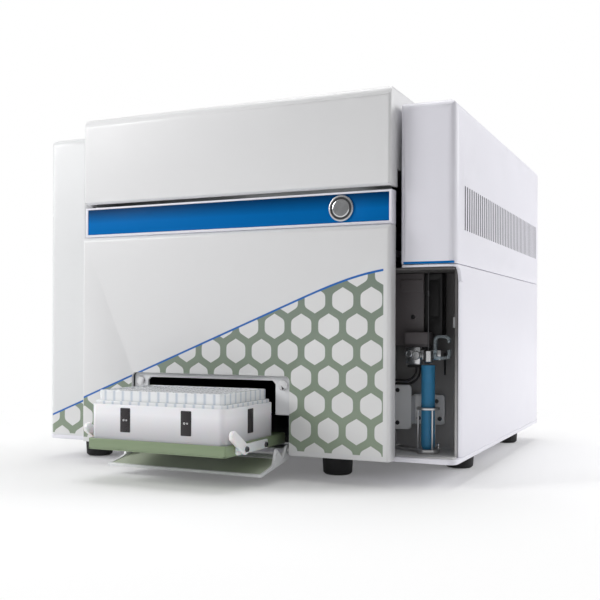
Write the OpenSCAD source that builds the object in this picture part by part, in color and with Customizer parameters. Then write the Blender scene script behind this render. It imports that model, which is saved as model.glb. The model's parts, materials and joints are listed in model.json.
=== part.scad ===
// Benchtop flow cytometer with a microplate loader and a single tube station.
// X runs to the right, Y to the back, Z up; the origin is at the centre of the base, on the bench.

/* [Cabinet] */
// Width over the two side pods
body_w = 425; // [415:1:435]
// Depth of the cabinet, without the proud front panels
body_d = 393; // [385:1:410]
// Height of the flat top of the side pods
pod_top = 326; // [320:1:332]
// Wall of the moulded covers
skin = 3; // [2.5:0.1:4]
// Radius of the long top edges of the pods
top_edge_r = 9; // [6:0.5:12]
// Radius of the outer upright edges of the pods
corner_r = 8; // [5:0.5:10]
// Radius of the pod's upright edge beside the centre section
inner_edge_r = 7; // [4:0.5:9]
// Gap between the pods and the centre section
pod_gap = 3.7; // [3:0.1:5]
// Thickness of the base pan
pan_t = 4; // [3:0.5:5]
// Sheet steel of the chassis
sheet = 2; // [1.5:0.1:2.5]

/* [Centre section] */
// Width of the hood and of the front panel
centre_w = 318.6; // [310:0.2:324]
// How far the front panel stands in front of the pods
panel_proud = 14; // [12:0.5:16]
// How far the hood stands in front of the pods
hood_proud = 12.6; // [11:0.2:14]
// Height of the hood's top
hood_top = 340; // [336:1:344]
// Height of the hood's lower lip
hood_lip = 255; // [253:0.5:258]
// Height of the front panel's top edge
panel_top = 222; // [219:0.5:224]
// Radius of the hood's front top edge
hood_r = 11; // [8:0.5:14]
// Depth of the hood's roof, measured from the front of the pods
hood_d = 376; // [370:1:378]
// Opening angle of the hood
hood_open = 60; // [40:1:65]

/* [Blue band and button] */
// Height of the band's lower edge
band_z = 225; // [224:0.5:228]
// Height of the band
band_h = 24.7; // [20:0.1:26]
// How far the band's face lies in front of the pods
band_proud = 9; // [8:0.5:10]
// Thickness of the band
band_t = 2.5; // [2:0.1:3]
// Sideways place of the power button
button_x = 113.3; // [100:0.1:120]
// Radius of the button cap
button_r = 8.4; // [7:0.1:9]
// Radial width of the button's ring
ring_w = 3; // [2:0.1:3.5]
// Travel of the button
button_travel = 2; // [1.5:0.1:2.5]

/* [Plate loader] */
// Sideways place of the loader's centre
loader_x = -16.8; // [-20:0.1:-14]
// Width of the loader's opening
slot_w = 166.4; // [165:0.1:170]
// Height of the loader's opening above the bench
slot_top = 90.5; // [90:0.1:93]
// Width of the two lugs in the opening's upper corners
ear_w = 15.4; // [13:0.1:17]
// Height at which the lugs start
ear_z = 56; // [54:0.5:58]
// Width of the tray
tray_w = 136; // [134:0.5:137]
// Depth of the tray
tray_d = 95; // [92:0.5:97]
// How far the tray stands in front of the pods when it is out
tray_out = 100; // [96:0.5:103]
// Height of the tray's underside
tray_z = 29; // [28.8:0.1:30]
// Height of the tray
tray_h = 8.7; // [7:0.1:10]
// Thickness of the tray's floor
tray_floor = 3; // [2.5:0.1:4]
// Stroke of the tray
tray_travel = 250; // [248:1:258]
// Width of the adapter block
block_w = 130; // [129.5:0.1:131]
// Depth of the adapter block
block_d = 87; // [86.5:0.1:89]
// Height of the adapter block's top
block_top = 67.5; // [64:0.5:69]
// Radius of the adapter block's upright edges
block_r = 6; // [4:0.5:9]
// Radius of the guide rods
rod_r = 3; // [2.5:0.1:3.5]

/* [Loader door] */
// Width of the door
door_w = 164; // [162:0.5:165]
// Height of the closed door's top
door_top = 86; // [84:0.5:87]
// Thickness of the door
door_t = 2.5; // [2:0.1:3]
// Place of the hinge axis behind the front of the pods
hinge_y = -5; // [-5.5:0.1:-4.5]
// Height of the hinge axis
hinge_z = 25; // [24.5:0.1:25]
// Angle of the open door
door_open = 99; // [98:0.5:100]
// Radius of the hinge pins
pin_r = 2; // [1.5:0.1:2.2]

/* [Microplate] */
// Length of the plate's foot
plate_w = 127.76;
// Width of the plate's foot
plate_d = 85.48;
// Height of the plate
plate_h = 14.35; // [14.2:0.05:16]
// Distance between wells
well_pitch = 9;
// Radius of a well
well_r = 3.4; // [3:0.05:3.5]
// Depth of a well
well_depth = 10.7; // [9:0.1:11.5]

/* [Tube station] */
// Height of the bay's opening
bay_top = 185.5; // [180:0.5:186]
// Depth of the bay
bay_d = 65; // [60:0.5:70]
// Inner left side of the bay
bay_left = 140; // [136:0.5:142]
// Depth of the cut-out in the side of the bay
bay_side = 17; // [15:0.5:20]
// Radius of the cut-out's upper corner
bay_r = 12; // [8:0.5:14]
// Sideways place of the sample tube
tube_x = 180; // [178:0.5:182]
// Depth place of the sample tube
tube_y = 30; // [28:0.5:32]
// Radius of the sample tube
tube_r = 6; // [5.5:0.1:6.2]
// Length of the sample tube
tube_len = 75; // [70:0.5:75]
// Swing of the tube arm
arm_swing = 30; // [20:1:32]
// Stroke of the sample needle
needle_travel = 40; // [30:1:42]

/* [Vents and feet] */
// Number of vent slots in the right pod
vent_count = 44; // [30:1:44]
// Distance between the vent slots
vent_pitch = 8; // [7:0.05:8.1]
// Width of a vent slot
vent_w = 4; // [3:0.1:4.5]
// Height of the vent slots
vent_h = 38; // [30:1:42]
// Height of the feet
foot_h = 20; // [18:0.5:22]
// Radius of the feet
foot_r = 14.5; // [12:0.5:15]

/* [Hidden] */
$fn = 64;
eps = 0.02;            // overshoot of a cut
fit = 0.05;            // radial clearance of a running fit
slack = 0.3;           // clearance between pieces that pass each other

half_w = body_w / 2;
half_c = centre_w / 2;
pod_x = half_c + pod_gap;             // inner side of a pod
deck_y = body_d;                      // rear of the cabinet
pan_top = foot_h + pan_t;
seam_z = bay_top + 2;                 // joint between the two right covers
rear_proud = 14;                      // reach of the fluid ports behind the cabinet
mid_y = (body_d + rear_proud - tray_out) / 2;
slot_half = slot_w / 2;
panel_z = foot_h + 1;

module in_frame() translate([0, -mid_y, 0]) children();

// Block between two corners
module slab(x0, x1, y0, y1, z0, z1) translate([x0, y0, z0]) cube([x1 - x0, y1 - y0, z1 - z0]);
module rod_x(r, x0, x1, y, z) translate([x0, y, z]) rotate([0, 90, 0]) cylinder(h = x1 - x0, r = r);
module rod_y(r, x, y0, y1, z) translate([x, y0, z]) rotate([-90, 0, 0]) cylinder(h = y1 - y0, r = r);
module rod_z(r, x, y, z0, z1) translate([x, y, z0]) cylinder(h = z1 - z0, r = r);

// Sweep of an outline along X (outline in Y and Z), Y (outline in X and Z) or Z
module sweep_x(x0, x1) translate([x0, 0, 0]) rotate([90, 0, 90]) linear_extrude(x1 - x0) children();
module sweep_y(y0, y1) translate([0, y1, 0]) rotate([90, 0, 0]) linear_extrude(y1 - y0) children();
module sweep_z(z0, z1) translate([0, 0, z0]) linear_extrude(z1 - z0) children();

// Rectangle between two corners, with a radius for each corner: lower left, lower right,
// upper right, upper left
module outline(a0, a1, b0, b1, r = [0, 0, 0, 0]) {
    at = [[a0, b0, 1, 1], [a1, b0, -1, 1], [a1, b1, -1, -1], [a0, b1, 1, -1]];
    difference() {
        translate([a0, b0]) square([a1 - a0, b1 - b0]);
        for (i = [0:3]) if (r[i] > 0)
            difference() {
                translate([at[i][0] - (at[i][2] < 0 ? r[i] : eps), at[i][1] - (at[i][3] < 0 ? r[i] : eps)])
                    square([r[i] + eps, r[i] + eps]);
                translate([at[i][0] + at[i][2] * r[i], at[i][1] + at[i][3] * r[i]]) circle(r[i]);
            }
    }
}

// Solid pod with rounded edges; inset shrinks it on all sides
module pod_form(inset, z0) {
    x0 = pod_x + inset;
    x1 = half_w - inset;
    ro = corner_r - inset;
    ri = inner_edge_r - inset;
    rt = top_edge_r - inset;
    intersection() {
        sweep_z(z0, pod_top - inset) outline(x0, x1, inset, body_d - inset, [ri, ro, ro, ri]);
        sweep_x(x0, x1) outline(inset, body_d - inset, z0, pod_top - inset, [0, 0, rt, rt]);
        sweep_y(inset, body_d - inset) outline(x0, x1, z0, pod_top - inset, [0, 0, rt, min(rt, 3)]);
    }
}

module pod_shell(z0) difference() {
    pod_form(0, z0);
    pod_form(skin, z0 - 1);
}

module base_pan() color("gainsboro") in_frame() difference() {
    sweep_z(foot_h, pan_top)
        outline(-half_w, half_w, 0, body_d, [corner_r, corner_r, corner_r, corner_r]);
    sweep_z(foot_h + sheet, pan_top + 1) outline(-half_w + 8, bay_left - 12, 22, body_d - 8);
    slab(loader_x - slot_half - 1, loader_x + slot_half + 1, -1, 6, foot_h - 1, pan_top + 1);
    for (p = foot_places) rod_z(2.2, p[0], p[1], foot_h - 1, pan_top + 1);
}

foot_places = [[-178, 40], [93, 36], [183, 127], [183, 343], [-178, 343]];

module feet() color("dimgray") in_frame() for (p = foot_places)
    translate([p[0], p[1], 0]) difference() {
        rotate_extrude() difference() {
            polygon([[0, 0], [foot_r - 3, 0], [foot_r - 1.2, 1.8], [foot_r, foot_h], [0, foot_h]]);
            translate([-1, -1]) square([5, foot_h - 4]);
        }
        translate([0, 0, -1]) cylinder(h = foot_h + 2, r = 2.2);
    }

fan_x = 60;                           // fan in the rear panel
fan_z = 240;
fan_w = 80;
fan_d = 25;
wall_l = -half_c + skin + 1;          // outer side of the left chassis wall
wall_r = bay_left - 2;                // outer side of the right chassis wall
deck_z = 196;                         // underside of the optics deck
deck_t = 6;
deck_back = body_d - skin - fan_d - 4;
frame_y = 2;                          // front of the chassis
port_x = [-120, -98, -76, -54];       // fluid ports on the back
port_z = 70;
inlet_x = 118;
inlet_z = 64;
rocker_z = inlet_z + 27;

module chassis_frame() color("silver") in_frame() {
    slab(wall_l, wall_l + sheet, frame_y + sheet - eps, body_d - skin, pan_top, deck_z);
    slab(wall_r - sheet, wall_r, frame_y + sheet - eps, body_d - skin, pan_top, deck_z);
    difference() {
        slab(wall_l, -wall_l, frame_y, frame_y + sheet, pan_top, hood_lip + 14);
        slab(loader_x - slot_half - 1, loader_x + slot_half + 1, 0, 6, pan_top - 1, slot_top + 6);
        rod_y(button_r + ring_w, button_x, 0, 6, band_mid);
        slab(-140, 60, 0, 6, 120, 190);
    }
}

module optics_deck() color("lightgray") in_frame() difference() {
    slab(wall_l, -wall_l, frame_y + sheet, deck_back, deck_z, deck_z + deck_t);
    for (x = [wall_l + 14, -wall_l - 12], y = [30, 200, deck_back - 12])
        rod_z(2.6, x, y, deck_z - 1, deck_z + deck_t + 1);
    slab(20, 60, 200, 260, deck_z - 1, deck_z + deck_t + 1);
}

module left_cover() color("whitesmoke") in_frame() mirror([1, 0, 0]) pod_shell(pan_top);

vent_y = (body_d - (vent_count - 1) * vent_pitch - vent_w) / 2 + 5;
vent_z = 218;

module right_upper_cover() color("whitesmoke") in_frame() difference() {
    pod_shell(seam_z + 0.6);
    for (i = [0:vent_count - 1])
        slab(half_w - skin - 1, half_w + 1, vent_y + i * vent_pitch, vent_y + i * vent_pitch + vent_w,
            vent_z, vent_z + vent_h);
    slab(pod_x - 1, half_w + 1, -1, 1, seam_z, seam_z + 2.6);
}

module trim_stripe() color("steelblue") in_frame()
    slab(pod_x + inner_edge_r / 2, half_w - corner_r / 4, 0.2, 1, seam_z + 0.7, seam_z + 2.6);

module right_lower_cover() color("whitesmoke") in_frame() difference() {
    intersection() {
        difference() {
            pod_form(0, pan_top);
            pod_form(skin, pan_top - 1);
            slab(pod_x - 1, pod_x + skin + 8, skin, body_d - skin, pan_top - 1, pod_top);
        }
        slab(pod_x, half_w + 1, -1, body_d + 1, pan_top, seam_z);
    }
    sweep_x(pod_x - 1, half_w + 1) outline(-20, bay_side, pan_top - 20, bay_top, [0, 0, bay_r, 0]);
    sweep_z(pan_top - 1, bay_top - bay_r)
        polygon([[half_w - skin + 0.6, bay_side - 1], [half_w + eps, bay_side + 9],
            [half_w + 2, bay_side + 9], [half_w + 2, bay_side - 1]]);
}

module rear_panel() color("whitesmoke") in_frame() difference() {
    union() {
        slab(-pod_x + slack, pod_x - slack, body_d - skin, body_d, pan_top, pod_top);
        slab(-pod_x + slack, pod_x - slack, hood_d + 4, body_d - eps, pod_top - skin, pod_top);
    }
    rod_y(fan_w / 2 - 3, fan_x, body_d - skin - 1, body_d + 1, fan_z);
    slab(inlet_x - 14, inlet_x + 14, body_d - skin - 1, body_d + 1, inlet_z - 10, inlet_z + 10);
    slab(inlet_x - 7, inlet_x + 7, body_d - skin - 1, body_d + 1, rocker_z - 9, rocker_z + 9);
    for (x = port_x) rod_y(port_stem_r, x, body_d - skin - 1, body_d + 1, port_z);
    for (i = [0:11]) slab(-130, -50, body_d - skin - 1, body_d + 1, 200 + i * 8, 203.5 + i * 8);
}

module panel_form(inset) intersection() {
    sweep_x(-half_c + inset, half_c - inset)
        outline(-panel_proud + inset, frame_y + (inset > 0 ? 1 : 0), panel_z - (inset > 0 ? 1 : 0),
            panel_top - inset, [0, 0, 0, 5 - inset]);
    sweep_z(0, panel_top) outline(-half_c + inset, half_c - inset, -panel_proud + inset, frame_y + 1,
        [3 - inset / 2, 3 - inset / 2, 0, 0]);
}

module front_panel() color("whitesmoke") in_frame() difference() {
    panel_form(0);
    panel_form(skin);
    sweep_y(-panel_proud - 1, frame_y + 1) outline(loader_x - slot_half, loader_x + slot_half, 0, slot_top,
        [0, 0, 4, 4]);
    slab(-half_c - 1, half_c + 1, -slack, frame_y + 1, 0, pan_top);
}

band_mid = band_z + band_h / 2;

module band_bezel() color("whitesmoke") in_frame() difference() {
    slab(-half_c, half_c, -band_proud, frame_y, panel_top + slack, hood_lip - 3.5);
    slab(-half_c + 2.4, half_c - 2.4, -band_proud - 1, -band_proud + band_t, band_z, band_z + band_h);
    slab(-half_c + skin, half_c - skin, -band_proud + band_t + 2, frame_y + 1, panel_top + 3,
        hood_lip - 6.5);
    rod_y(button_r + ring_w + 0.1, button_x, -band_proud - 1, frame_y + 1, band_mid);
}

module blue_band() color("royalblue") in_frame() difference() {
    slab(-half_c + 2.6, half_c - 2.6, -band_proud + slack, -band_proud + band_t, band_z + 0.2,
        band_z + band_h - 0.2);
    rod_y(button_r + ring_w, button_x, -band_proud - 1, 0, band_mid);
}

module button_ring() color("silver") in_frame() difference() {
    union() {
        rod_y(button_r + ring_w, button_x, -band_proud - 1.2, frame_y + sheet + 2, band_mid);
        rod_y(button_r + ring_w + 3, button_x, frame_y + sheet, frame_y + sheet + 3, band_mid);
    }
    rod_y(button_r + fit, button_x, -band_proud - 2, frame_y + sheet + 4, band_mid);
}

module power_button() color("gainsboro") in_frame() {
    rod_y(button_r, button_x, -band_proud - 1.6, 0, band_mid);
    rod_y(3, button_x, -eps, frame_y + sheet + 6, band_mid);
}

// Hood: a deep lid that swings up on two hinges at its back edge
lid_y = hood_d + 8;                   // hinge axis of the hood
lid_z = pod_top + 5;
hood_side_z = 312;                    // lower edge of the hood's sides at the back

module hood_form(inset) intersection() {
    sweep_x(-half_c + inset, half_c - inset)
        outline(-hood_proud + inset, hood_d - inset, hood_lip - (inset > 0 ? 1 : 0), hood_top - inset,
            [0, 0, 4 - inset, hood_r - inset]);
    sweep_y(-hood_proud, hood_d) outline(-half_c + inset, half_c - inset, hood_lip - 1,
        hood_top - inset, [0, 0, 3 - inset / 2, 3 - inset / 2]);
    sweep_z(hood_lip - 1, hood_top) outline(-half_c + inset, half_c - inset, -hood_proud + inset, hood_d - inset,
        [3 - inset / 2, 3 - inset / 2, 2, 2]);
}

module hood() color("whitesmoke") in_frame() {
    difference() {
        hood_form(0);
        hood_form(skin);
        sweep_x(-half_c - 1, half_c + 1)
            polygon([[6, hood_lip - 2], [hood_d + 1, hood_lip - 2], [hood_d + 1, hood_side_z],
                [hood_d - 30, hood_side_z], [26, hood_lip + 16], [6, hood_lip + 16]]);
        sweep_x(-half_c - 1, half_c + 1)
            polygon([[-hood_proud - 1, hood_lip - 1], [-hood_proud + 4, hood_lip - 1],
                [-hood_proud - 1, hood_lip + 2.2]]);
    }
    slab(-half_c + skin - eps, half_c - skin + eps, -hood_proud + skin - eps, -hood_proud + skin + 4,
        hood_lip, hood_lip + 2.5);
    for (x = [-90, 0, 90]) slab(x - 1, x + 1, 6, hood_d - skin + eps, hood_top - skin - 7, hood_top - skin + eps);
}

hinge_places = [-104, 104];
barrel_r = 4.2;

module hood_hinge_lugs() color("silver") in_frame() for (x = hinge_places) difference() {
    union() {
        slab(x - 7, x + 7, hood_d, lid_y, lid_z - 2, lid_z + 2);
        rod_x(barrel_r, x - 7, x + 7, lid_y, lid_z);
    }
    rod_x(pin_r + fit, x - 8, x + 8, lid_y, lid_z);
}

module hood_hinge_base() color("silver") in_frame() for (x = hinge_places) {
    rod_x(pin_r, x - 15, x + 15, lid_y, lid_z);
    for (s = [-1, 1]) {
        rod_x(barrel_r, x + s * 11 - 3.6, x + s * 11 + 3.6, lid_y, lid_z);
        slab(x + s * 11 - 3.6, x + s * 11 + 3.6, lid_y - 3, lid_y + 3, pod_top, lid_z);
    }
}

// Plate loader
bezel_y = -9.5;                       // face of the bezel in the loader's opening
bezel_t = 3;

module loader_bezel() color("whitesmoke") in_frame() difference() {
    union() {
        sweep_y(bezel_y, frame_y) outline(loader_x - slot_half + 0.2, loader_x + slot_half - 0.2, hinge_z + 5,
            slot_top - 0.2, [0, 0, 4, 4]);
        sweep_y(frame_y - 2, frame_y) outline(loader_x - slot_half - 6, loader_x + slot_half + 6, hinge_z + 5,
            slot_top + 12, [0, 0, 4, 4]);
    }
    sweep_y(bezel_y + bezel_t, frame_y + 1) outline(loader_x - slot_half + 1.8, loader_x + slot_half - 1.8, 0,
        slot_top - 1.8, [0, 0, 2.4, 2.4]);
    sweep_y(bezel_y - 1, bezel_y + bezel_t + 1) {
        outline(loader_x - slot_half + ear_w, loader_x + slot_half - ear_w, 0, slot_top - 4, [0, 0, 3, 3]);
        outline(loader_x - slot_half + 1.8, loader_x + slot_half - 1.8, 0, ear_z, [0, 0, 2, 2]);
    }
    for (s = [-1, 1]) rod_y(2, loader_x + s * bumper_x, bezel_y - 1, bezel_y + bezel_t + 1, bumper_z);
}

bumper_x = slot_half - 7.5;
bumper_z = 83.1 - 0.6;

module door_bumpers() color("gray") in_frame() for (s = [-1, 1]) {
    rod_y(4.6, loader_x + s * bumper_x, bezel_y - 1.6, bezel_y, bumper_z);
    rod_y(2, loader_x + s * bumper_x, bezel_y - eps, bezel_y + bezel_t, bumper_z);
}

tunnel_y = 330;                       // rear of the loader's tunnel
tunnel_top = 97;
tunnel_x = slot_half + 2;             // outer half width of the tunnel

module loader_tunnel() color("dimgray") in_frame() difference() {
    slab(loader_x - tunnel_x, loader_x + tunnel_x, frame_y + sheet, tunnel_y, pan_top, tunnel_top);
    slab(loader_x - slot_half, loader_x + slot_half, 0, tunnel_y - sheet, foot_h, tunnel_top - sheet);
    rod_x(5, loader_x + slot_half - 1, loader_x + tunnel_x + 1, motor_y, belt_z);
}

rail_x = slot_half - 4;               // half distance between the guide rods
rail_z = 28.5;
belt_z = 50;                          // height of the belt's centre
belt_r = 8;
belt_w = 4.4;
belt_x = rail_x;
motor_y = tunnel_y - 20;
idler_y = 26;

module loader_rods() color("silver") in_frame() for (s = [-1, 1]) {
    rod_y(rod_r, loader_x + s * rail_x, 12, tunnel_y - sheet - 4, rail_z);
    for (y = [8, tunnel_y - sheet - 4])
        slab(loader_x + s * rail_x - 4, loader_x + s * rail_x + 4, y, y + 4, pan_top, rail_z + 4.5);
}

module belt_loop(r) {
    translate([idler_y, belt_z]) circle(r);
    translate([motor_y, belt_z]) circle(r);
    translate([idler_y, belt_z - r]) square([motor_y - idler_y, 2 * r]);
}

module loader_belt() color("black") in_frame()
    sweep_x(loader_x + belt_x - belt_w / 2, loader_x + belt_x + belt_w / 2) difference() {
        belt_loop(belt_r);
        belt_loop(belt_r - 1.2);
    }

module loader_pulleys() color("silver") in_frame() {
    for (y = [idler_y, motor_y]) rod_x(belt_r - 1.25, loader_x + belt_x - belt_w / 2, loader_x + belt_x + belt_w / 2, y, belt_z);
    rod_x(2.5, loader_x + belt_x, loader_x + slot_half, idler_y, belt_z);
    rod_x(2.5, loader_x + belt_x, loader_x + tunnel_x + 2, motor_y, belt_z);
}

module loader_motor() color("dimgray") in_frame() difference() {
    union() {
        sweep_x(loader_x + tunnel_x, loader_x + tunnel_x + 30)
            outline(motor_y - 17.5, motor_y + 17.5, belt_z - 17.5, belt_z + 17.5, [4, 4, 4, 4]);
    }
    rod_x(5, loader_x + tunnel_x - 1, loader_x + tunnel_x + 3, motor_y, belt_z);
}

// The door turns about the hinge axis; its outline is drawn closed and then swung open
module about_hinge(a) translate([0, hinge_y, hinge_z]) rotate([a, 0, 0]) translate([0, -hinge_y, -hinge_z]) children();

door_face = -panel_proud;
lug_in = door_w / 2 - 6.2;            // inner side of the door's lugs
lug_t = 3;

module loader_door() color("gainsboro") in_frame() about_hinge(door_open) difference() {
    union() {
        difference() {
            sweep_y(door_face, door_face + door_t)
                outline(loader_x - door_w / 2, loader_x + door_w / 2, hinge_z - 4.5, door_top, [1, 1, 7, 7]);
            sweep_y(door_face + door_t - 0.6, door_face + door_t + 1)
                outline(loader_x - door_w / 2 + 2, loader_x + door_w / 2 - 2, hinge_z + 10, door_top - 2,
                    [2, 2, 6, 6]);
        }
        for (s = [-1, 1]) {
            x = loader_x + s * (lug_in + lug_t / 2);
            sweep_x(x - lug_t / 2, x + lug_t / 2) {
                translate([hinge_y, hinge_z]) circle(4);
                translate([door_face + 1, hinge_z - 4]) square([hinge_y - door_face - 1, 8]);
                polygon([[door_face + 1, hinge_z - 4], [hinge_y - 2, hinge_z + 3], [hinge_y - 1, hinge_z + 16],
                    [hinge_y - 2.6, hinge_z + 19], [door_face + 1, hinge_z + 30]]);
            }
        }
    }
    rod_x(pin_r + fit, loader_x - door_w, loader_x + door_w, hinge_y, hinge_z);
    rod_x(1.4, loader_x - door_w, loader_x + door_w, hinge_y - 3.4, hinge_z + 16);
}

module door_brackets() color("silver") in_frame() for (s = [-1, 1]) {
    a = loader_x + s * (lug_in + lug_t + slack);
    b = loader_x + s * (slot_half - 0.4);
    x0 = min(a, b);
    x1 = max(a, b);
    sweep_x(x0, x1) {
        translate([hinge_y, hinge_z]) circle(4);
        translate([hinge_y, hinge_z - 1]) square([7.6 - hinge_y, 5]);
    }
    rod_x(pin_r, min(loader_x + s * lug_in, x0), max(loader_x + s * lug_in, x1), hinge_y, hinge_z);
}

tray_y = -tray_out;
tray_half = tray_w / 2;
block_y = tray_y + 3.5;               // front of the adapter block
block_z = tray_z + tray_floor;

module tray() color("darkseagreen") in_frame() difference() {
    sweep_z(tray_z, tray_z + tray_h) polygon([
        [loader_x - tray_half, tray_y + 7], [loader_x - tray_half + 7, tray_y],
        [loader_x + tray_half - 9, tray_y], [loader_x + tray_half, tray_y + 9],
        [loader_x + tray_half, tray_y + tray_d], [loader_x - tray_half, tray_y + tray_d]]);
    sweep_z(block_z, tray_z + tray_h + 1)
        outline(loader_x - block_w / 2 - slack, loader_x + block_w / 2 + slack, block_y - slack,
            block_y + block_d + slack, [block_r, block_r, block_r, block_r]);
    for (x = [-40, 0, 40]) sweep_z(tray_z - 1, block_z + 1)
        outline(loader_x + x - 12, loader_x + x + 12, tray_y + 20, tray_y + tray_d - 15, [4, 4, 4, 4]);
}

carriage_y = 14;
carriage_t = 3;

module tray_carriage() color("silver") in_frame() difference() {
    union() {
        slab(loader_x - 45, loader_x + 45, tray_y + 32, carriage_y + eps, tray_z - carriage_t, tray_z);
        slab(loader_x - rail_x + 4, loader_x + rail_x - 4, carriage_y, carriage_y + 36, tray_z - carriage_t, tray_z);
        for (s = [-1, 1]) slab(loader_x + s * rail_x - (s > 0 ? 4.5 : 3.8), loader_x + s * rail_x + (s > 0 ? 3.8 : 4.5),
            carriage_y, carriage_y + 36, pan_top + 0.4, rail_z + 4.5);
        slab(loader_x + belt_x - 2, loader_x + belt_x + 2, carriage_y + 12, carriage_y + 24, rail_z + 4,
            belt_z - belt_r - slack);
    }
    for (s = [-1, 1]) rod_y(rod_r + fit, loader_x + s * rail_x, carriage_y - 1, carriage_y + 37, rail_z);
}

clip_t = 4.2;
clip_y = tray_y + 24;                 // lever pivot, on the tray's side
clip_z = tray_z + 4.4;
clip_len = 25;
clip_lean = 35;                       // lever's lean above the horizontal, towards the front
clip_swing = 18;                      // swing of the levers
bar_t = 2;

// White side bars with the pivots of the levers
module clip_bars() color("white") in_frame() for (s = [-1, 1]) {
    x0 = s > 0 ? loader_x + tray_half : loader_x - tray_half - bar_t;
    sweep_x(x0, x0 + bar_t) outline(clip_y - 4, tray_y + 78, clip_z - 3.6, clip_z + 3.6, [3.4, 3, 3, 3.4]);
    rod_x(1.6, s > 0 ? x0 + bar_t - eps : x0 - clip_t - slack, s > 0 ? x0 + bar_t + clip_t + slack : x0 + eps,
        clip_y, clip_z);
}

module clip_lever(x0) difference() {
    sweep_x(x0, x0 + clip_t) {
        translate([clip_y, clip_z]) circle(4.2);
        translate([clip_y, clip_z]) rotate(180 - clip_lean) {
            translate([0, -4.2]) square([clip_len - 4, 8.4]);
            translate([clip_len - 4, 0]) circle(4.2);
        }
    }
    rod_x(1.6 + fit, x0 - 1, x0 + clip_t + 1, clip_y, clip_z);
}

module clip_right() color("white") in_frame() clip_lever(loader_x + tray_half + bar_t + slack);
module clip_left() color("white") in_frame() clip_lever(loader_x - tray_half - bar_t - slack - clip_t);

label_w = 10;
label_z = [45, 65];
label_x = [-41, 23];                  // front labels, from the loader's centre
label_y = 48;                         // side label, from the block's front
label_t = 0.6;

module plate_adapter() color("white") in_frame() difference() {
    sweep_z(block_z, block_top) outline(loader_x - block_w / 2, loader_x + block_w / 2, block_y, block_y + block_d,
        [block_r, block_r, block_r, block_r]);
    slab(loader_x - block_w / 2 + 5, loader_x + block_w / 2 - 5, block_y + 5, block_y + block_d - 5, block_z - 1,
        block_top - 6);
    for (x = label_x)
        slab(loader_x + x - label_w / 2, loader_x + x + label_w / 2, block_y - 1, block_y + label_t, label_z[0], label_z[1]);
    slab(loader_x + block_w / 2 - label_t, loader_x + block_w / 2 + 1, block_y + label_y - label_w / 2,
        block_y + label_y + label_w / 2, label_z[0], label_z[1]);
}

module adapter_labels() color("black") in_frame() {
    for (x = label_x)
        slab(loader_x + x - label_w / 2, loader_x + x + label_w / 2, block_y - 0.2, block_y + label_t, label_z[0], label_z[1]);
    slab(loader_x + block_w / 2 - label_t, loader_x + block_w / 2 + 0.2, block_y + label_y - label_w / 2,
        block_y + label_y + label_w / 2, label_z[0], label_z[1]);
}

foot_flange = 2.4;
well_cols = 12;
well_rows = 8;

module well_plate() color("lightblue", 0.5) in_frame() translate([loader_x, block_y + block_d / 2, block_top]) difference() {
    union() {
        sweep_z(0, foot_flange) outline(-plate_w / 2, plate_w / 2, -plate_d / 2, plate_d / 2, [3, 3, 3, 3]);
        sweep_z(foot_flange - eps, plate_h) outline(-plate_w / 2 + 2.2, plate_w / 2 - 2.2, -plate_d / 2 + 2.2,
            plate_d / 2 - 2.2, [4, 4, 4, 4]);
    }
    for (i = [0:well_cols - 1], j = [0:well_rows - 1])
        translate([(i - (well_cols - 1) / 2) * well_pitch, (j - (well_rows - 1) / 2) * well_pitch, plate_h - well_depth])
            cylinder(h = well_depth + 1, r = well_r);
}

// Tube station
bay_right = half_w - skin - 0.5;
liner_t = 2;

module bay_liner() color("dimgray") in_frame() {
    difference() {
        slab(wall_r, bay_right, frame_y + sheet, bay_d + liner_t, pan_top, bay_top);
        slab(bay_left, bay_right - liner_t, 0, bay_d, pan_top + 1, bay_top - liner_t);
        slab(bay_right - liner_t - 1, bay_right + 1, 0, bay_side, pan_top + 1, bay_top - liner_t);
        rod_z(3, tube_x, tube_y, bay_top - 5, bay_top + 1);
    }
    rod_z(2, arm_x, arm_y, pan_top, arm_z + arm_t + slack + 1);
    rod_z(4, arm_x, arm_y, arm_z + arm_t + slack, arm_z + arm_t + slack + 1);
}

column_x = [171, 189];
column_z = 130;

module black_column() color("black") in_frame() difference() {
    slab(column_x[0], column_x[1], bay_d - 14, bay_d, column_z, bay_top - liner_t);
    slab(column_x[0] + 3, column_x[1] - 3, bay_d - 15, bay_d - 4, column_z - 1, bay_top - liner_t - 6);
}

module probe_housing() color("gray") in_frame() difference() {
    sweep_y(bay_d - 15, bay_d) outline(bay_left, column_x[0] - slack, column_z - 14, bay_top - liner_t, [0, 7, 0, 0]);
    rod_y(1.8, 159, bay_d - 16, bay_d - 8, 144);
}

module wash_block() color("silver") in_frame() difference() {
    union() {
        sweep_y(24, bay_d) outline(154, 171, 103, column_z - 14 - slack, [2, 2, 2, 2]);
        slab(170, 192, 40, bay_d, 106, 120);
        rod_z(7, tube_x, tube_y, 103.5, 118);
        slab(tube_x - 5, tube_x + 5, tube_y, 42, 106, 116);
        rod_x(4.5, 151, 168, 20.5 + 4, 110);
    }
    rod_z(1.6, tube_x, tube_y, 100, 130);
}

module bay_bracket() color("gainsboro") in_frame() difference() {
    union() {
        sweep_y(bay_d - 7, bay_d - 5) outline(157, 187, 47, 74, [3, 3, 3, 3]);
        sweep_y(bay_d - 20, bay_d - 18) outline(bay_left, 160, 43, 84, [0, 3, 5, 0]);
        slab(158, 160, bay_d - 20, bay_d - 5, 47.5, 73);
        slab(150, 156, bay_d - 18 - eps, bay_d, 50, 70);
    }
    rod_y(2, 179.5, bay_d - 9, bay_d - 4, 68);
}

module bay_sensor() color("gainsboro") in_frame()
    sweep_y(bay_d - 16, bay_d) outline(196.6, 203.8, 134, 144, [1, 1, 1, 1]);

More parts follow.
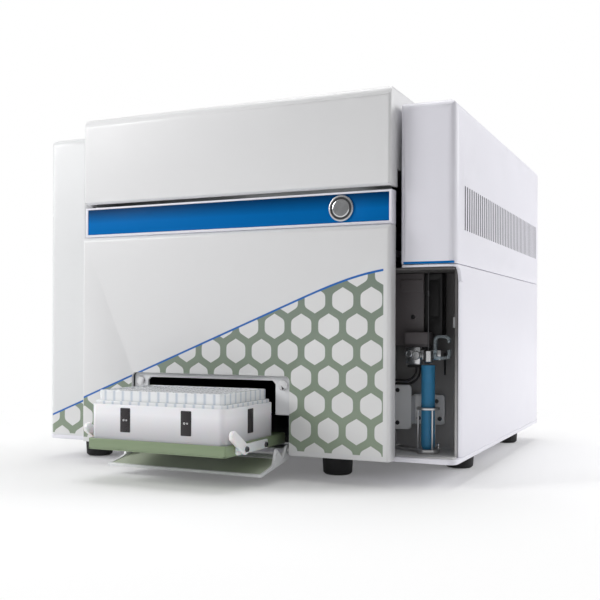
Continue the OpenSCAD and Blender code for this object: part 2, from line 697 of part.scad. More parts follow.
module bay_hose() color("black") in_frame() {
    intersection() {
        translate([162.5, bay_d - 16, 96]) rotate([90, 0, 0]) rotate_extrude() translate([7, 0]) circle(1.4);
        slab(150, 175, bay_d - 20, bay_d - 12, 86, 96 + eps);
    }
    for (s = [-1, 1]) rod_z(1.4, 162.5 + 7 * s, bay_d - 16, 96, 103);
}

arm_x = bay_left + 6;                 // pivot of the tube arm
arm_y = tube_y + 16;
arm_z = pan_top + 1.6;
arm_t = 2.6;
seat_t = 2;                           // floor left under the tube
tube_z = arm_z + seat_t - 1;

module tube_arm() color("silver") in_frame() difference() {
    union() {
        rod_z(5, arm_x, arm_y, arm_z, arm_z + arm_t);
        translate([arm_x, arm_y, arm_z]) rotate(atan2(tube_y - arm_y, tube_x - arm_x))
            translate([0, -4, 0]) cube([norm([tube_x - arm_x, tube_y - arm_y]), 8, arm_t]);
        rod_z(10, tube_x, tube_y, arm_z - 0.4, arm_z + arm_t + 0.6);
    }
    rod_z(2 + fit, arm_x, arm_y, arm_z - 1, arm_z + arm_t + 1);
    translate([tube_x, tube_y, tube_z + tube_r]) sphere(tube_r + 0.15);
}

post_angles = [180, 310, 65];
ring_z = 63;

module tube_cage() color("silver") in_frame() translate([tube_x, tube_y, 0]) {
    for (a = post_angles) translate([9 * cos(a), 9 * sin(a), arm_z + arm_t + 0.6]) cylinder(h = ring_z + 1 - arm_z - arm_t - 0.6, r = 0.9);
    difference() {
        union() {
            rod_z(10.2, 0, 0, ring_z, ring_z + 2);
        }
        rod_z(tube_r + 0.4, 0, 0, ring_z - 1, ring_z + 3);
    }
}

module sample_tube() color("deepskyblue", 0.6) in_frame() translate([tube_x, tube_y, tube_z])
    rotate_extrude() difference() {
        union() {
            translate([0, tube_r]) square([tube_r, tube_len - tube_r]);
            intersection() {
                translate([0, tube_r]) circle(tube_r);
                square([tube_r, tube_r]);
            }
        }
        translate([0, tube_r]) square([tube_r - 1, tube_len]);
        intersection() {
            translate([0, tube_r]) circle(tube_r - 1);
            square([tube_r, tube_r + eps]);
        }
    }

needle_tip = 106;
lift_z = 282;                         // carriage of the needle, above the bay

module sample_needle() color("silver") in_frame() difference() {
    union() {
        rod_z(0.8, tube_x, tube_y, needle_tip, lift_z + 4);
        slab(tube_x - 5, tube_x + 5, tube_y - 4, lift_y - 4 - slack, lift_z, lift_z + 10);
        slab(tube_x - 8, tube_x + 8, lift_y - 4 - slack - eps, lift_y + 4, lift_z, lift_z + 10);
    }
    rod_z(3 + fit, tube_x, lift_y, lift_z - 1, lift_z + 11);
}

lift_y = 52;

module needle_lift() color("dimgray") in_frame() {
    rod_z(3, tube_x, lift_y, bay_top + 4, pod_top - 14);
    slab(tube_x - 12, tube_x + 12, lift_y - 8, lift_y + 20, bay_top, bay_top + 4);
    slab(tube_x - 12, tube_x + 12, lift_y + 8, lift_y + 20, bay_top + 4, pod_top - 14);
    slab(tube_x - 12, tube_x + 12, lift_y - 8, lift_y + 20, pod_top - 14, pod_top - 8);
}

// Optics on the deck
deck_top = deck_z + deck_t;

module flow_cell() color("slategray") in_frame() {
    difference() {
        sweep_z(deck_top, deck_top + 62) outline(96, 140, 40, 88, [3, 3, 3, 3]);
        rod_x(14, 95, 141, 64, deck_top + 36);
        slab(108, 128, 39, 60, deck_top + 16, deck_top + 56);
    }
    rod_x(11, 80, 110, 64, deck_top + 36);
    rod_x(7, 110 - eps, 126, 64, deck_top + 36);
    slab(84, 96 + eps, 54, 74, deck_top, deck_top + 28);
}

laser_y = [130, 185, 240];

module laser_modules() color("black") in_frame() for (y = laser_y) difference() {
    union() {
        slab(20, 130, y, y + 42, deck_top, deck_top + 34);
        for (i = [0:8]) slab(24 + i * 12, 30 + i * 12, y + 2, y + 40, deck_top + 34 - eps, deck_top + 46);
        rod_x(6, 8, 20 + eps, y + 21, deck_top + 18);
    }
    slab(60, 90, y + 12, y + 30, deck_top - 1, deck_top + 6);
}

det_x = [-130, -60];
det_y = [60, 170, 280];

module detector_modules() color("darkslategray") in_frame() for (x = [-140], y = det_y) {
    sweep_z(deck_top, deck_top + 40) outline(x, x + 110, y, y + 70, [10, 10, 10, 10]);
    for (i = [0:4]) rod_z(7, x + 15 + i * 20, y + 20, deck_top + 40 - eps, deck_top + 46);
    for (i = [0:4]) rod_z(5, x + 15 + i * 20, y + 50, deck_top + 40 - eps, deck_top + 44);
}

module fibre_lines() color("orange") in_frame() for (i = [0:2]) {
    y = det_y[i] + 35;
    rod_x(1.5, -30, -12 + i * 8, y, deck_top + 20);
    rod_y(1.5, -12 + i * 8, min(64, y), max(64, y), deck_top + 20);
}

module sheath_pump() color("darkgray") in_frame() {
    slab(78, 122, 30, 90, foot_h + sheet, 80);
    rod_x(22, 86, 112, 60, 104);
    slab(90, 108, 44, 76, 80 - eps, 96);
}

module sheath_filter() color("white") in_frame() {
    rod_z(20, 102, 130, foot_h + sheet + 12, 120);
    rod_z(12, 102, 130, foot_h + sheet, foot_h + sheet + 12 + eps);
    rod_z(6, 102, 130, 120 - eps, 132);
}

module main_board() color("darkgreen") in_frame() {
    slab(-140, 65, 70, 300, 120, 122);
    for (x = [-130, -35, 55], y = [80, 290]) rod_z(3, x, y, tunnel_top, 120 + eps);
    for (i = [0:2]) slab(-110 + i * 70, -70 + i * 70, 120, 160, 122 - eps, 126);
    slab(-120, 40, 220, 236, 122 - eps, 134);
}

module power_supply() color("silver") in_frame() difference() {
    slab(-150, -104, 60, 320, foot_h + sheet, tunnel_top);
    for (i = [0:12]) slab(-151, -103, 75 + i * 18, 83 + i * 18, 84, 91);
}

module fan_frame() color("black") in_frame() difference() {
    union() {
        difference() {
            sweep_y(body_d - skin - fan_d, body_d - skin) outline(fan_x - fan_w / 2, fan_x + fan_w / 2,
                fan_z - fan_w / 2, fan_z + fan_w / 2, [5, 5, 5, 5]);
            rod_y(fan_w / 2 - 2, fan_x, body_d - skin - fan_d - 1, body_d, fan_z);
        }
        rod_y(15, fan_x, body_d - skin - fan_d, body_d - skin - fan_d + 4, fan_z);
        for (a = [45:90:315]) translate([fan_x, body_d - skin - fan_d, fan_z]) rotate([0, a, 0])
            translate([10, 0, -2]) cube([fan_w / 2 - 9, 3, 4]);
    }
    rod_y(2 + fit, fan_x, body_d - skin - fan_d - 1, body_d - skin - fan_d + 5, fan_z);
}

module fan_rotor() color("dimgray") in_frame() {
    rod_y(14, fan_x, body_d - skin - fan_d + 4 + slack + 0.4, body_d - skin - 3, fan_z);
    rod_y(2, fan_x, body_d - skin - fan_d, body_d - skin - 4, fan_z);
    for (a = [0:360 / 7:359]) translate([fan_x, body_d - skin - 12, fan_z]) rotate([0, a, 0])
        translate([13, 0, 0]) rotate([35, 0, 0]) translate([0, -6.5, -0.8]) cube([fan_w / 2 - 18, 13, 1.6]);
}

module fan_guard() color("silver") in_frame() {
    for (r = [10:8:34]) difference() {
        rod_y(r + 1, fan_x, body_d + 0.6, body_d + 2.6, fan_z);
        rod_y(r - 1, fan_x, body_d, body_d + 3, fan_z);
    }
    for (a = [45, 135]) translate([fan_x, body_d + 1, fan_z]) rotate([0, a, 0]) translate([0, 0, -46])
        cylinder(h = 92, r = 1);
}

module power_inlet() color("black") in_frame() {
    difference() {
        slab(inlet_x - 10, inlet_x + 10, body_d - 22, body_d - skin, rocker_z - 12, rocker_z + 12);
        slab(inlet_x - 7, inlet_x + 7, body_d - 20, body_d, rocker_z - 10, rocker_z + 10);
    }
    rod_x(1.5, inlet_x - 8, inlet_x + 8, body_d - 6, rocker_z);
    difference() {
        union() {
            sweep_y(body_d, body_d + 2.5)
                outline(inlet_x - 25, inlet_x + 25, inlet_z - 14, inlet_z + 14, [4, 4, 4, 4]);
            slab(inlet_x - 13.7, inlet_x + 13.7, body_d - 24, body_d + eps, inlet_z - 9.7, inlet_z + 9.7);
        }
        sweep_y(body_d - 16, body_d + 3)
            outline(inlet_x - 11.5, inlet_x + 11.5, inlet_z - 7.5, inlet_z + 7.5, [0, 0, 4, 4]);
        for (s = [-1, 1]) rod_y(1.8, inlet_x + s * 20, body_d - 1, body_d + 3, inlet_z);
    }
}

module power_rocker() color("black") in_frame() difference() {
    intersection() {
        rod_x(11, inlet_x - 6.4, inlet_x + 6.4, body_d - 6, rocker_z);
        slab(inlet_x - 6.4, inlet_x + 6.4, body_d - 12, body_d + 4, rocker_z - 8, rocker_z + 8);
    }
    rod_x(1.5 + fit, inlet_x - 7, inlet_x + 7, body_d - 6, rocker_z);
}

port_stem_r = 4;
port_r = 6.5;
barb_r = 3.2;

module fluid_ports() color("silver") in_frame() for (x = port_x) difference() {
    union() {
        rod_y(port_stem_r - 0.1, x, body_d - skin - 8, body_d + eps, port_z);
        rod_y(port_r, x, body_d, body_d + 5, port_z);
        rod_y(barb_r, x, body_d + 5 - eps, body_d + rear_proud, port_z);
    }
    rod_y(1.5, x, body_d - skin - 9, body_d + rear_proud + 1, port_z);
}

base_pan();
feet();
chassis_frame();
optics_deck();
left_cover();
right_upper_cover();
right_lower_cover();
rear_panel();
front_panel();
band_bezel();
blue_band();
trim_stripe();
button_ring();
power_button();
hood();
hood_hinge_lugs();
hood_hinge_base();
loader_bezel();
door_bumpers();
loader_tunnel();
loader_rods();
loader_belt();
loader_pulleys();
loader_motor();
door_brackets();
loader_door();
tray();
tray_carriage();
clip_bars();
clip_right();
clip_left();
plate_adapter();
adapter_labels();
well_plate();
bay_liner();
black_column();
probe_housing();
wash_block();
bay_bracket();
bay_sensor();
bay_hose();
tube_arm();
tube_cage();
sample_tube();
sample_needle();
needle_lift();
flow_cell();
laser_modules();
detector_modules();
fibre_lines();
sheath_pump();
sheath_filter();
main_board();
power_supply();
fan_frame();
fan_rotor();
fan_guard();
power_inlet();
power_rocker();
fluid_ports();
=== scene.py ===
import bpy
import bmesh
import json
import math
from mathutils import Matrix, Vector

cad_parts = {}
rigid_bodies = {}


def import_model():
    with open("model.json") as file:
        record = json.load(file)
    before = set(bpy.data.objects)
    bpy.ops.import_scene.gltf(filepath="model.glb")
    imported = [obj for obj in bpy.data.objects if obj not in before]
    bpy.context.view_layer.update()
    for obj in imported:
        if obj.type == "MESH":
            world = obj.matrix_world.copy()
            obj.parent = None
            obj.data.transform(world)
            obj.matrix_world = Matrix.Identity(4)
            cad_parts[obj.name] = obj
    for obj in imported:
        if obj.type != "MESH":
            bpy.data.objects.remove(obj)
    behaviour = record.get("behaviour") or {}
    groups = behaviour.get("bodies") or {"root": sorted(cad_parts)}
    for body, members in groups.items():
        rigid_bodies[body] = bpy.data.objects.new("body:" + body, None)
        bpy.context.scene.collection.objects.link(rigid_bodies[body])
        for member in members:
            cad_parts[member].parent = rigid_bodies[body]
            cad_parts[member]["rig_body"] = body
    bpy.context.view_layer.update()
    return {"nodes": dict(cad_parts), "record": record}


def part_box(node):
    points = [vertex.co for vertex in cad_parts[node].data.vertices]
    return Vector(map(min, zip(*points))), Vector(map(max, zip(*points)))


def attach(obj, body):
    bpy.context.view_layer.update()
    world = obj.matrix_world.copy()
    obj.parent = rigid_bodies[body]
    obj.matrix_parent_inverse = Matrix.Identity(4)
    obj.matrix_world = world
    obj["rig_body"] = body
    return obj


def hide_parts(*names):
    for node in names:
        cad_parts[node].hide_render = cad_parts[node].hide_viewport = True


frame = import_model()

# X runs right, Y back and Z up, in metres. Sizes in the dictionaries are millimetres unless a note says otherwise.
mm = 0.001
scene = bpy.context.scene
scene.view_settings.view_transform = "Standard"


# Object helpers

def linked(obj):
    scene.collection.objects.link(obj)
    return obj


def objectFrom(name, bm):
    mesh = bpy.data.meshes.new(name)
    bm.normal_update()
    bm.to_mesh(mesh)
    bm.free()
    return linked(bpy.data.objects.new(name, mesh))


def applyModifiers(obj):
    evaluated = obj.evaluated_get(bpy.context.evaluated_depsgraph_get())
    mesh = bpy.data.meshes.new_from_object(evaluated)
    obj.modifiers.clear()
    obj.data = mesh
    return obj


def paint(obj, material):
    obj.data.materials.clear()
    obj.data.materials.append(material)


def smoothBelow(obj, degrees):
    obj.data.shade_smooth()
    obj.data.set_sharp_from_angle(angle=math.radians(degrees))


def seat(obj, body, material=None, nodes=()):
    if material:
        paint(obj, material)
    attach(obj, body)
    if nodes:
        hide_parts(*nodes)
    return obj


def slotOf(node):
    return next(s["material_slot"] for s in frame["record"]["subparts"] if s["node"] == node)


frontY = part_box("base_pan")[0].y     # front plane of the two side pods


# Place in millimetres from the middle of that plane: x to the right, y to the back, z up from the bench
def at(x, y, z):
    return Vector((x * mm, frontY + y * mm, z * mm))


# A built mesh becomes a piece that stands for the node, unless it is added beside it
def asPiece(name, bm, look, body, node, added=False, smooth=35):
    bmesh.ops.remove_doubles(bm, verts=bm.verts, dist=0.002 * mm)
    bmesh.ops.recalc_face_normals(bm, faces=bm.faces)
    obj = objectFrom(name, bm)
    smoothBelow(obj, smooth)
    return seat(obj, body, finish[look], () if added else (node,))


# Box between two corners given as for at
def boxInto(bm, low, high, edge=0.4, segments=2):
    low, high = at(*low), at(*high)
    centre, size = (low + high) / 2, high - low
    made = bmesh.ops.create_cube(bm, size=1, matrix=Matrix.Translation(centre) @ Matrix.Diagonal((*size, 1)))
    if edge:
        edges = dict.fromkeys(e for v in made["verts"] for e in v.link_edges)
        bmesh.ops.bevel(bm, geom=list(edges), offset=edge * mm, segments=segments, affect="EDGES", profile=0.5)


axes = {    # how a flat outline (u, v) and its thickness w lie in space
    "x": Matrix(((0, 0, 1, 0), (1, 0, 0, 0), (0, 1, 0, 0), (0, 0, 0, 1))),
    "y": Matrix(((1, 0, 0, 0), (0, 0, -1, 0), (0, 1, 0, 0), (0, 0, 0, 1))),
    "z": Matrix.Identity(4),
}


# Angles in radians: a start and equal steps in degrees
def fan(start, step, count):
    return [math.radians(start + step * i) for i in range(count)]


# Turned form: a profile of (radius, height) pairs in millimetres, spun about an axis
def turnInto(bm, profile, where, axis="z", steps=40):
    place = Matrix.Translation(where) @ axes[axis]
    rings = []
    for radius, height in profile:
        angles = fan(0, 360 / steps, 1 if radius < 1e-4 else steps)
        rings.append([bm.verts.new(place @ (Vector((radius * math.cos(a), radius * math.sin(a), height)) * mm))
                      for a in angles])
    for low, high in zip(rings, rings[1:]):
        for i in range(steps):
            corners = [low[i % len(low)], low[(i + 1) % len(low)], high[(i + 1) % len(high)], high[i % len(high)]]
            corners = [c for n, c in enumerate(corners) if c not in corners[:n]]
            if len(corners) > 2:
                bm.faces.new(corners)


def ringProfile(inner, outer, low, high):
    return [(inner, low), (outer, low), (outer, high), (inner, high), (inner, low)]


# Closed outlines to a plate with eased edges, between two levels of its axis: a rim, then the holes
def plateInto(bm, loops, low, high, axis="z", edge=0.3):
    curve = bpy.data.curves.new("outline", "CURVE")
    curve.dimensions = "2D"
    curve.fill_mode = "BOTH"
    curve.extrude = (abs(high - low) / 2 - edge) * mm
    curve.bevel_depth = edge * mm
    curve.bevel_resolution = 1
    curve.offset = -edge * mm
    for loop in loops:
        spline = curve.splines.new("POLY")
        spline.points.add(len(loop) - 1)
        for point, (u, v) in zip(spline.points, loop):
            point.co = (u * mm, v * mm, 0, 1)
        spline.use_cyclic_u = True
    obj = linked(bpy.data.objects.new("outline", curve))
    mesh = bpy.data.meshes.new_from_object(obj.evaluated_get(bpy.context.evaluated_depsgraph_get()))
    bpy.data.objects.remove(obj)
    middle = at(*((low + high) / 2 if way == axis else 0 for way in "xyz"))
    mesh.transform(Matrix.Translation(middle) @ axes[axis])
    bm.from_mesh(mesh)
    bpy.data.meshes.remove(mesh)


# Seven points to a rounded corner, one to a square one
def roundedLoop(a0, a1, b0, b1, radius=2.0):
    radii = radius if isinstance(radius, (tuple, list)) else (radius,) * 4
    loop = []
    corners = ((a1, b0, -1, 1, 270), (a1, b1, -1, -1, 0), (a0, b1, 1, -1, 90), (a0, b0, 1, 1, 180))
    for (a, b, sa, sb, start), r in zip(corners, radii):
        for turn in fan(start, 15, 7 if r > 0.05 else 1):
            loop.append((a + sa * r + r * math.cos(turn), b + sb * r + r * math.sin(turn)))
    return loop


def spanLoop(middle, half, low, high, radius=2.0):
    return roundedLoop(middle - half, middle + half, low, high, radius)


# Skin from ring to ring of equal count, with a face over both ends
def skinInto(bm, rings):
    for low, high in zip(rings, rings[1:]):
        for i in range(len(low)):
            j = (i + 1) % len(low)
            bm.faces.new((low[i], low[j], high[j], high[i]))
    bm.faces.new(rings[0][::-1])
    bm.faces.new(rings[-1])


def circleLoop(u, v, radius, steps=24):
    return [(u + radius * math.cos(a), v + radius * math.sin(a)) for a in fan(0, 360 / steps, steps)]


# Round bar along a list of places, with closed ends
def barInto(bm, places, radius):
    rings = []
    for i, place in enumerate(places):
        ahead = (places[min(i + 1, len(places) - 1)] - places[max(i - 1, 0)]).normalized()
        side = ahead.cross(Vector((0.31, 0.87, 0.38))).normalized()
        up = side.cross(ahead)
        rings.append([bm.verts.new(place + (side * math.cos(a) + up * math.sin(a)) * radius * mm)
                      for a in fan(0, 30, 12)])
    skinInto(bm, rings)


# A CAD node's copy with its doubles merged, its degenerate edges dissolved and its sharp edges rounded
def roundedNode(node, name, material, width):
    source = frame["nodes"][node]
    bm = bmesh.new()
    bm.from_mesh(source.data)
    bmesh.ops.remove_doubles(bm, verts=bm.verts, dist=0.01 * mm)
    bmesh.ops.dissolve_degenerate(bm, edges=bm.edges, dist=0.005 * mm)
    copy = objectFrom(name, bm)
    if width > 0:
        bevel = copy.modifiers.new("edges", "BEVEL")
        bevel.width = width * mm
        bevel.segments = 2
        bevel.limit_method = "ANGLE"
        bevel.angle_limit = math.radians(33)
        bevel.use_clamp_overlap = False
        bevel.miter_outer = "MITER_ARC"
        applyModifiers(copy)
    smoothBelow(copy, 40)
    return seat(copy, source["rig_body"], material, (node,))


# Shader helpers: a graph wraps a node tree, so that a node and its links are one call

class Graph:
    def __init__(self, tree):
        self.tree = tree

    def add(self, kind, **settings):
        node = self.tree.nodes.new(kind)
        for key, value in settings.items():
            setattr(node, key, value)
        return node

    def feed(self, socket, value):
        if isinstance(value, bpy.types.NodeSocket):
            self.tree.links.new(value, socket)
        elif value is not None:
            socket.default_value = value

    # A node with its settings and its sockets, whose names have _ for a space
    def made(self, kind, settings=None, **sockets):
        node = self.add(kind, **(settings or {}))
        for label, value in sockets.items():
            self.feed(node.inputs[label.replace("_", " ")], value)
        return node.outputs[0]

    def calc(self, operation, a, b=None, c=None):
        node = self.add("ShaderNodeMath", operation=operation)
        for socket, value in zip(node.inputs, (a, b, c)):
            self.feed(socket, value)
        return node.outputs[0]

    def times(self, a, b):
        return self.calc("MULTIPLY", a, b)

    def plus(self, a, b):
        return self.calc("ADD", a, b)

    def minus(self, a, b):
        return self.calc("SUBTRACT", a, b)

    def size(self, a):
        return self.calc("ABSOLUTE", a)

    def vec(self, operation, a, b=None):
        node = self.add("ShaderNodeVectorMath", operation=operation)
        self.feed(node.inputs[0], a)
        self.feed(node.inputs[1], b)
        return node.outputs["Value"] if operation in ("DOT_PRODUCT", "LENGTH") else node.outputs["Vector"]

    def ramp(self, value, low, high, toLow=0.0, toHigh=1.0):
        node = self.add("ShaderNodeMapRange", clamp=True)
        for socket, given in zip(node.inputs, (value, low, high, toLow, toHigh)):
            self.feed(socket, given)
        return node.outputs[0]

    def mix(self, share, a, b, blend="MIX"):
        node = self.add("ShaderNodeMix", data_type="RGBA", blend_type=blend)
        self.feed(node.inputs[0], share)
        self.feed(node.inputs[6], a)
        self.feed(node.inputs[7], b)
        return node.outputs[2]

    def noise(self, vector, scale, detail=2.0, roughness=0.5):
        return self.made("ShaderNodeTexNoise", Vector=vector, Scale=scale, Detail=detail, Roughness=roughness)

    def split(self, vector):
        node = self.add("ShaderNodeSeparateXYZ")
        self.feed(node.inputs[0], vector)
        return node.outputs


# A socket's kind follows from its first value: None for geometry, four numbers for a colour, three for a vector
def socketKind(value):
    if isinstance(value, tuple):
        return "NodeSocketColor" if len(value) == 4 else "NodeSocketVector"
    return {type(None): "NodeSocketGeometry", int: "NodeSocketInt", float: "NodeSocketFloat"}[type(value)]


def addInputs(tree, inputs):
    sockets = {}
    for label, value in inputs.items():
        socket = tree.interface.new_socket(label.replace("_", " "), in_out="INPUT", socket_type=socketKind(value))
        if value is not None:
            socket.default_value = value
        sockets[label] = socket.identifier
    return sockets


def shaderGroup(name, outputs, **inputs):
    tree = bpy.data.node_groups.new(name, "ShaderNodeTree")
    addInputs(tree, inputs)
    for label in outputs:
        kind = "NodeSocketColor" if label == "Color" else "NodeSocketFloat"
        tree.interface.new_socket(label, in_out="OUTPUT", socket_type=kind)
    graph = Graph(tree)
    return tree, graph, graph.add("NodeGroupInput").outputs, graph.add("NodeGroupOutput").inputs


def objectPoint(graph):
    return graph.add("ShaderNodeTexCoord").outputs["Object"]


def placeAxes(graph):
    return graph.split(objectPoint(graph))


def facing(graph, axis):
    return graph.split(graph.add("ShaderNodeNewGeometry").outputs["Normal"])[axis]


def setPlain(shader, **values):
    for label, value in values.items():
        shader.inputs[label.replace("_", " ")].default_value = value


# Slow drift of tone and gloss over a moulding, with the fine dimples of its skin
def makeMouldedSkin():
    tree, g, given, out = shaderGroup("mouldedSkin", ("Color", "Roughness", "Height"), Color=(0.8, 0.8, 0.8, 1),
                                      Drift=0.04, Roughness=0.4, Grain_Size=900.0)
    point = objectPoint(g)
    slow = g.noise(point, 6.0, 3.0)
    smudge = g.noise(point, 38.0, 4.0, 0.6)
    shade = g.plus(g.times(g.minus(slow, 0.5), given["Drift"]), 1.0)
    toned = g.vec("SCALE", given["Color"])
    g.feed(toned.node.inputs["Scale"], shade)
    g.feed(out["Color"], toned)
    g.feed(out["Roughness"], g.plus(given["Roughness"], g.ramp(smudge, 0.35, 0.75, -0.05, 0.07)))
    grain = g.noise(point, given["Grain Size"], 2.0)
    g.feed(out["Height"], g.plus(grain, g.times(g.noise(point, 160.0, 1.0), 0.4)))
    return tree


# Fine parallel scratches of a brushed or ground face, along one axis
def makeBrushing():
    tree, g, given, out = shaderGroup("brushing", ("Roughness", "Height", "Mask"), Along=(1, 0.02, 1),
                                      Fineness=1500.0, Roughness=0.3, Spread=0.16)
    stretched = g.vec("MULTIPLY", objectPoint(g), given["Along"])
    streak = g.noise(stretched, given["Fineness"], 3.0, 0.6)
    stain = g.noise(objectPoint(g), 45.0, 3.0)
    g.feed(out["Mask"], streak)
    uneven = g.minus(g.plus(streak, g.times(stain, 0.5)), 0.75)
    g.feed(out["Roughness"], g.plus(given["Roughness"], g.times(uneven, given["Spread"])))
    g.feed(out["Height"], streak)
    return tree


# Patches of dust that settle on what faces up
def makeSettledDust():
    tree, g, given, out = shaderGroup("settledDust", ("Mask",), Amount=0.15, Patch_Size=20.0)
    patches = g.ramp(g.noise(objectPoint(g), given["Patch Size"], 4.0, 0.65), 0.4, 0.7)
    up = g.ramp(facing(g, "Z"), 0.3, 0.95)
    g.feed(out["Mask"], g.times(g.times(up, patches), given["Amount"]))
    return tree


# Rubbed edges: where the rounded normal leaves the true one
def makeEdgeWear():
    tree, g, given, out = shaderGroup("edgeWear", ("Mask",), Reach=0.0008, Break_Up=220.0)
    soft = g.made("ShaderNodeBevel", settings={"samples": 4}, Radius=given["Reach"])
    true = g.add("ShaderNodeNewGeometry").outputs["Normal"]
    turned = g.minus(1.0, g.vec("DOT_PRODUCT", soft, true))
    g.feed(out["Mask"], g.times(g.ramp(turned, 0.02, 0.25), g.ramp(
        g.noise(objectPoint(g), given["Break Up"], 3.0), 0.35, 0.65)))
    return tree


# A lattice of soft-cornered hexagons under a straight rising edge, on what faces the front
def makePrintedField():
    tree, g, given, out = shaderGroup("printedField", ("Field", "Cells", "Line"), Pitch=0.03, Cell=0.38, Slope=0.4,
                                      Rise=0.12, Level=0.19, Line=0.0016, Right_End=0.153, Lower_End=0.025)
    point = placeAxes(g)
    x, z = point["X"], point["Z"]
    edge = g.calc("SMOOTH_MIN", g.calc("MULTIPLY_ADD", x, given["Slope"], given["Rise"]), given["Level"], 0.03)
    above = g.minus(z, edge)
    front = g.ramp(g.times(facing(g, "Y"), -1.0), 0.9, 0.93)
    inside = g.times(g.ramp(g.minus(given["Right End"], x), -0.00015, 0.00015),
                    g.ramp(g.minus(z, given["Lower End"]), -0.00015, 0.00015))
    shown = g.times(front, inside)
    flat = g.add("ShaderNodeCombineXYZ")
    g.feed(flat.inputs[0], g.calc("DIVIDE", x, given["Pitch"]))
    g.feed(flat.inputs[1], g.calc("DIVIDE", z, given["Pitch"]))
    step = (1.0, math.sqrt(3), 1.0)
    nearest = []
    for offset in ((0, 0, 0), (0.5, math.sqrt(3) / 2, 0)):
        cell = g.vec("FRACTION", g.vec("DIVIDE", g.vec("ADD", flat.outputs[0], offset), step))
        local = g.vec("ABSOLUTE", g.vec("MULTIPLY", g.vec("SUBTRACT", cell, (0.5, 0.5, 0.5)), step))
        across = g.split(local)["X"]
        slant = g.vec("DOT_PRODUCT", local, (0.5, math.sqrt(3) / 2, 0))
        nearest.append(g.calc("SMOOTH_MAX", across, slant, 0.16))
    distance = g.calc("MINIMUM", nearest[0], nearest[1])
    soft = 0.006
    cells = g.ramp(distance, g.minus(given["Cell"], soft), g.plus(given["Cell"], soft), 1.0, 0.0)
    field = g.times(g.ramp(above, -0.0001, 0.0001, 1.0, 0.0), shown)
    half = g.times(given["Line"], 0.5)
    line = g.ramp(g.size(above), g.minus(half, 0.0001), g.plus(half, 0.0001), 1.0, 0.0)
    g.feed(out["Field"], field)
    g.feed(out["Cells"], cells)
    g.feed(out["Line"], g.times(line, shown))
    return tree


groups = {"skin": makeMouldedSkin(), "brushing": makeBrushing(), "dust": makeSettledDust(),
          "wear": makeEdgeWear(), "print": makePrintedField()}


def useGroup(graph, key, **values):
    return graph.made("ShaderNodeGroup", settings={"node_tree": groups[key]}, **values).node.outputs


def newMaterial(name):
    material = bpy.data.materials.new(name)
    material.use_nodes = True
    return material, Graph(material.node_tree), material.node_tree.nodes["Principled BSDF"]


def rgb(*levels):
    linear = [(v / 255 / 12.92 if v <= 10 else ((v / 255 + 0.055) / 1.055) ** 2.4) for v in levels]
    return (*linear, 1.0)


# Tone, roughness and the height of the relief come from the graph, and the rest is set plainly
def surface(g, shader, tone, roughness, height=None, depth=0.02, **plain):
    g.feed(shader.inputs["Base Color"], tone)
    g.feed(shader.inputs["Roughness"], roughness)
    setPlain(shader, **plain)
    if height is not None:
        g.feed(shader.inputs["Normal"], g.made("ShaderNodeBump", Distance=depth * mm, Height=height))


# Mask for the painted shade on the cut walls of slots in a side face: the face's x, then the slots' y and z ranges
def slotWallShade(g, *cuts):
    face, near, far, low, high = (c * mm for c in cuts)
    axis = placeAxes(g)
    behind = g.ramp(axis["X"], face - 0.1 * mm, face - 0.8 * mm)
    level = g.times(g.calc("GREATER_THAN", axis["Z"], low), g.calc("LESS_THAN", axis["Z"], high))
    away = g.size(g.minus(axis["Y"], frontY + (near + far) / 2))
    level = g.times(level, g.calc("LESS_THAN", away, (far - near) / 2))
    return g.times(g.times(behind, level), g.calc("LESS_THAN", g.size(facing(g, "X")), 0.5))


# Moulded or painted finishes: colour, roughness, size of the skin's grain and its depth
def skinMaterial(name, color, roughness=0.42, drift=0.04, grain=900.0, depth=0.02, worn=None, dust=0.0, coat=0.0,
                 subsurface=0.0, cuts=None):
    material, g, shader = newMaterial(name)
    skin = useGroup(g, "skin", Color=color, Drift=drift, Roughness=roughness, Grain_Size=grain)
    tone = skin["Color"]
    if cuts:
        # Painted shade: the walls of the slots behind the face are darkened towards dark grey
        tone = g.mix(g.times(slotWallShade(g, *cuts), 0.8), tone, rgb(74, 74, 80))
    if worn:
        tone = g.mix(g.times(useGroup(g, "wear")["Mask"], 0.5), tone, worn)
    if dust:
        settled = useGroup(g, "dust", Amount=dust)["Mask"]
        tone = g.mix(settled, tone, rgb(196, 194, 188))
    surface(g, shader, tone, skin["Roughness"], skin["Height"], depth, Coat_Weight=coat,
            Subsurface_Weight=subsurface, Subsurface_Scale=0.004)
    return material


def metalMaterial(name, color, roughness=0.3, along=(1, 0.03, 1), fineness=1500.0, spread=0.16):
    material, g, shader = newMaterial(name)
    brush = useGroup(g, "brushing", Along=along, Fineness=fineness, Roughness=roughness, Spread=spread)
    tone = g.mix(g.times(brush["Mask"], 0.18), color, (*(c * 0.7 for c in color[:3]), 1))
    surface(g, shader, tone, brush["Roughness"], brush["Height"], 0.004, Metallic=1.0)
    return material


def clearMaterial(name, color, roughness, ior, transmission):
    material, g, shader = newMaterial(name)
    cloud = g.noise(objectPoint(g), 300.0, 3.0)
    surface(g, shader, g.mix(g.times(cloud, 0.03), color, (1, 1, 1, 1)),
            g.ramp(cloud, 0.3, 0.8, roughness, roughness + 0.06), IOR=ior, Transmission_Weight=transmission)
    return material


art = {
    "pitch": 26.0,        # distance between hexagon centres
    "cell": 0.375,        # half width of a hexagon, as a share of the pitch
    "slope": 0.405, "rise": 128.0, "level": 186.0,     # rising edge and the height where it levels off
    "line": 1.9,
    "field": rgb(126, 139, 126), "fieldLow": rgb(140, 154, 134), "cells": rgb(228, 228, 228), "blue": rgb(0, 98, 184),
}


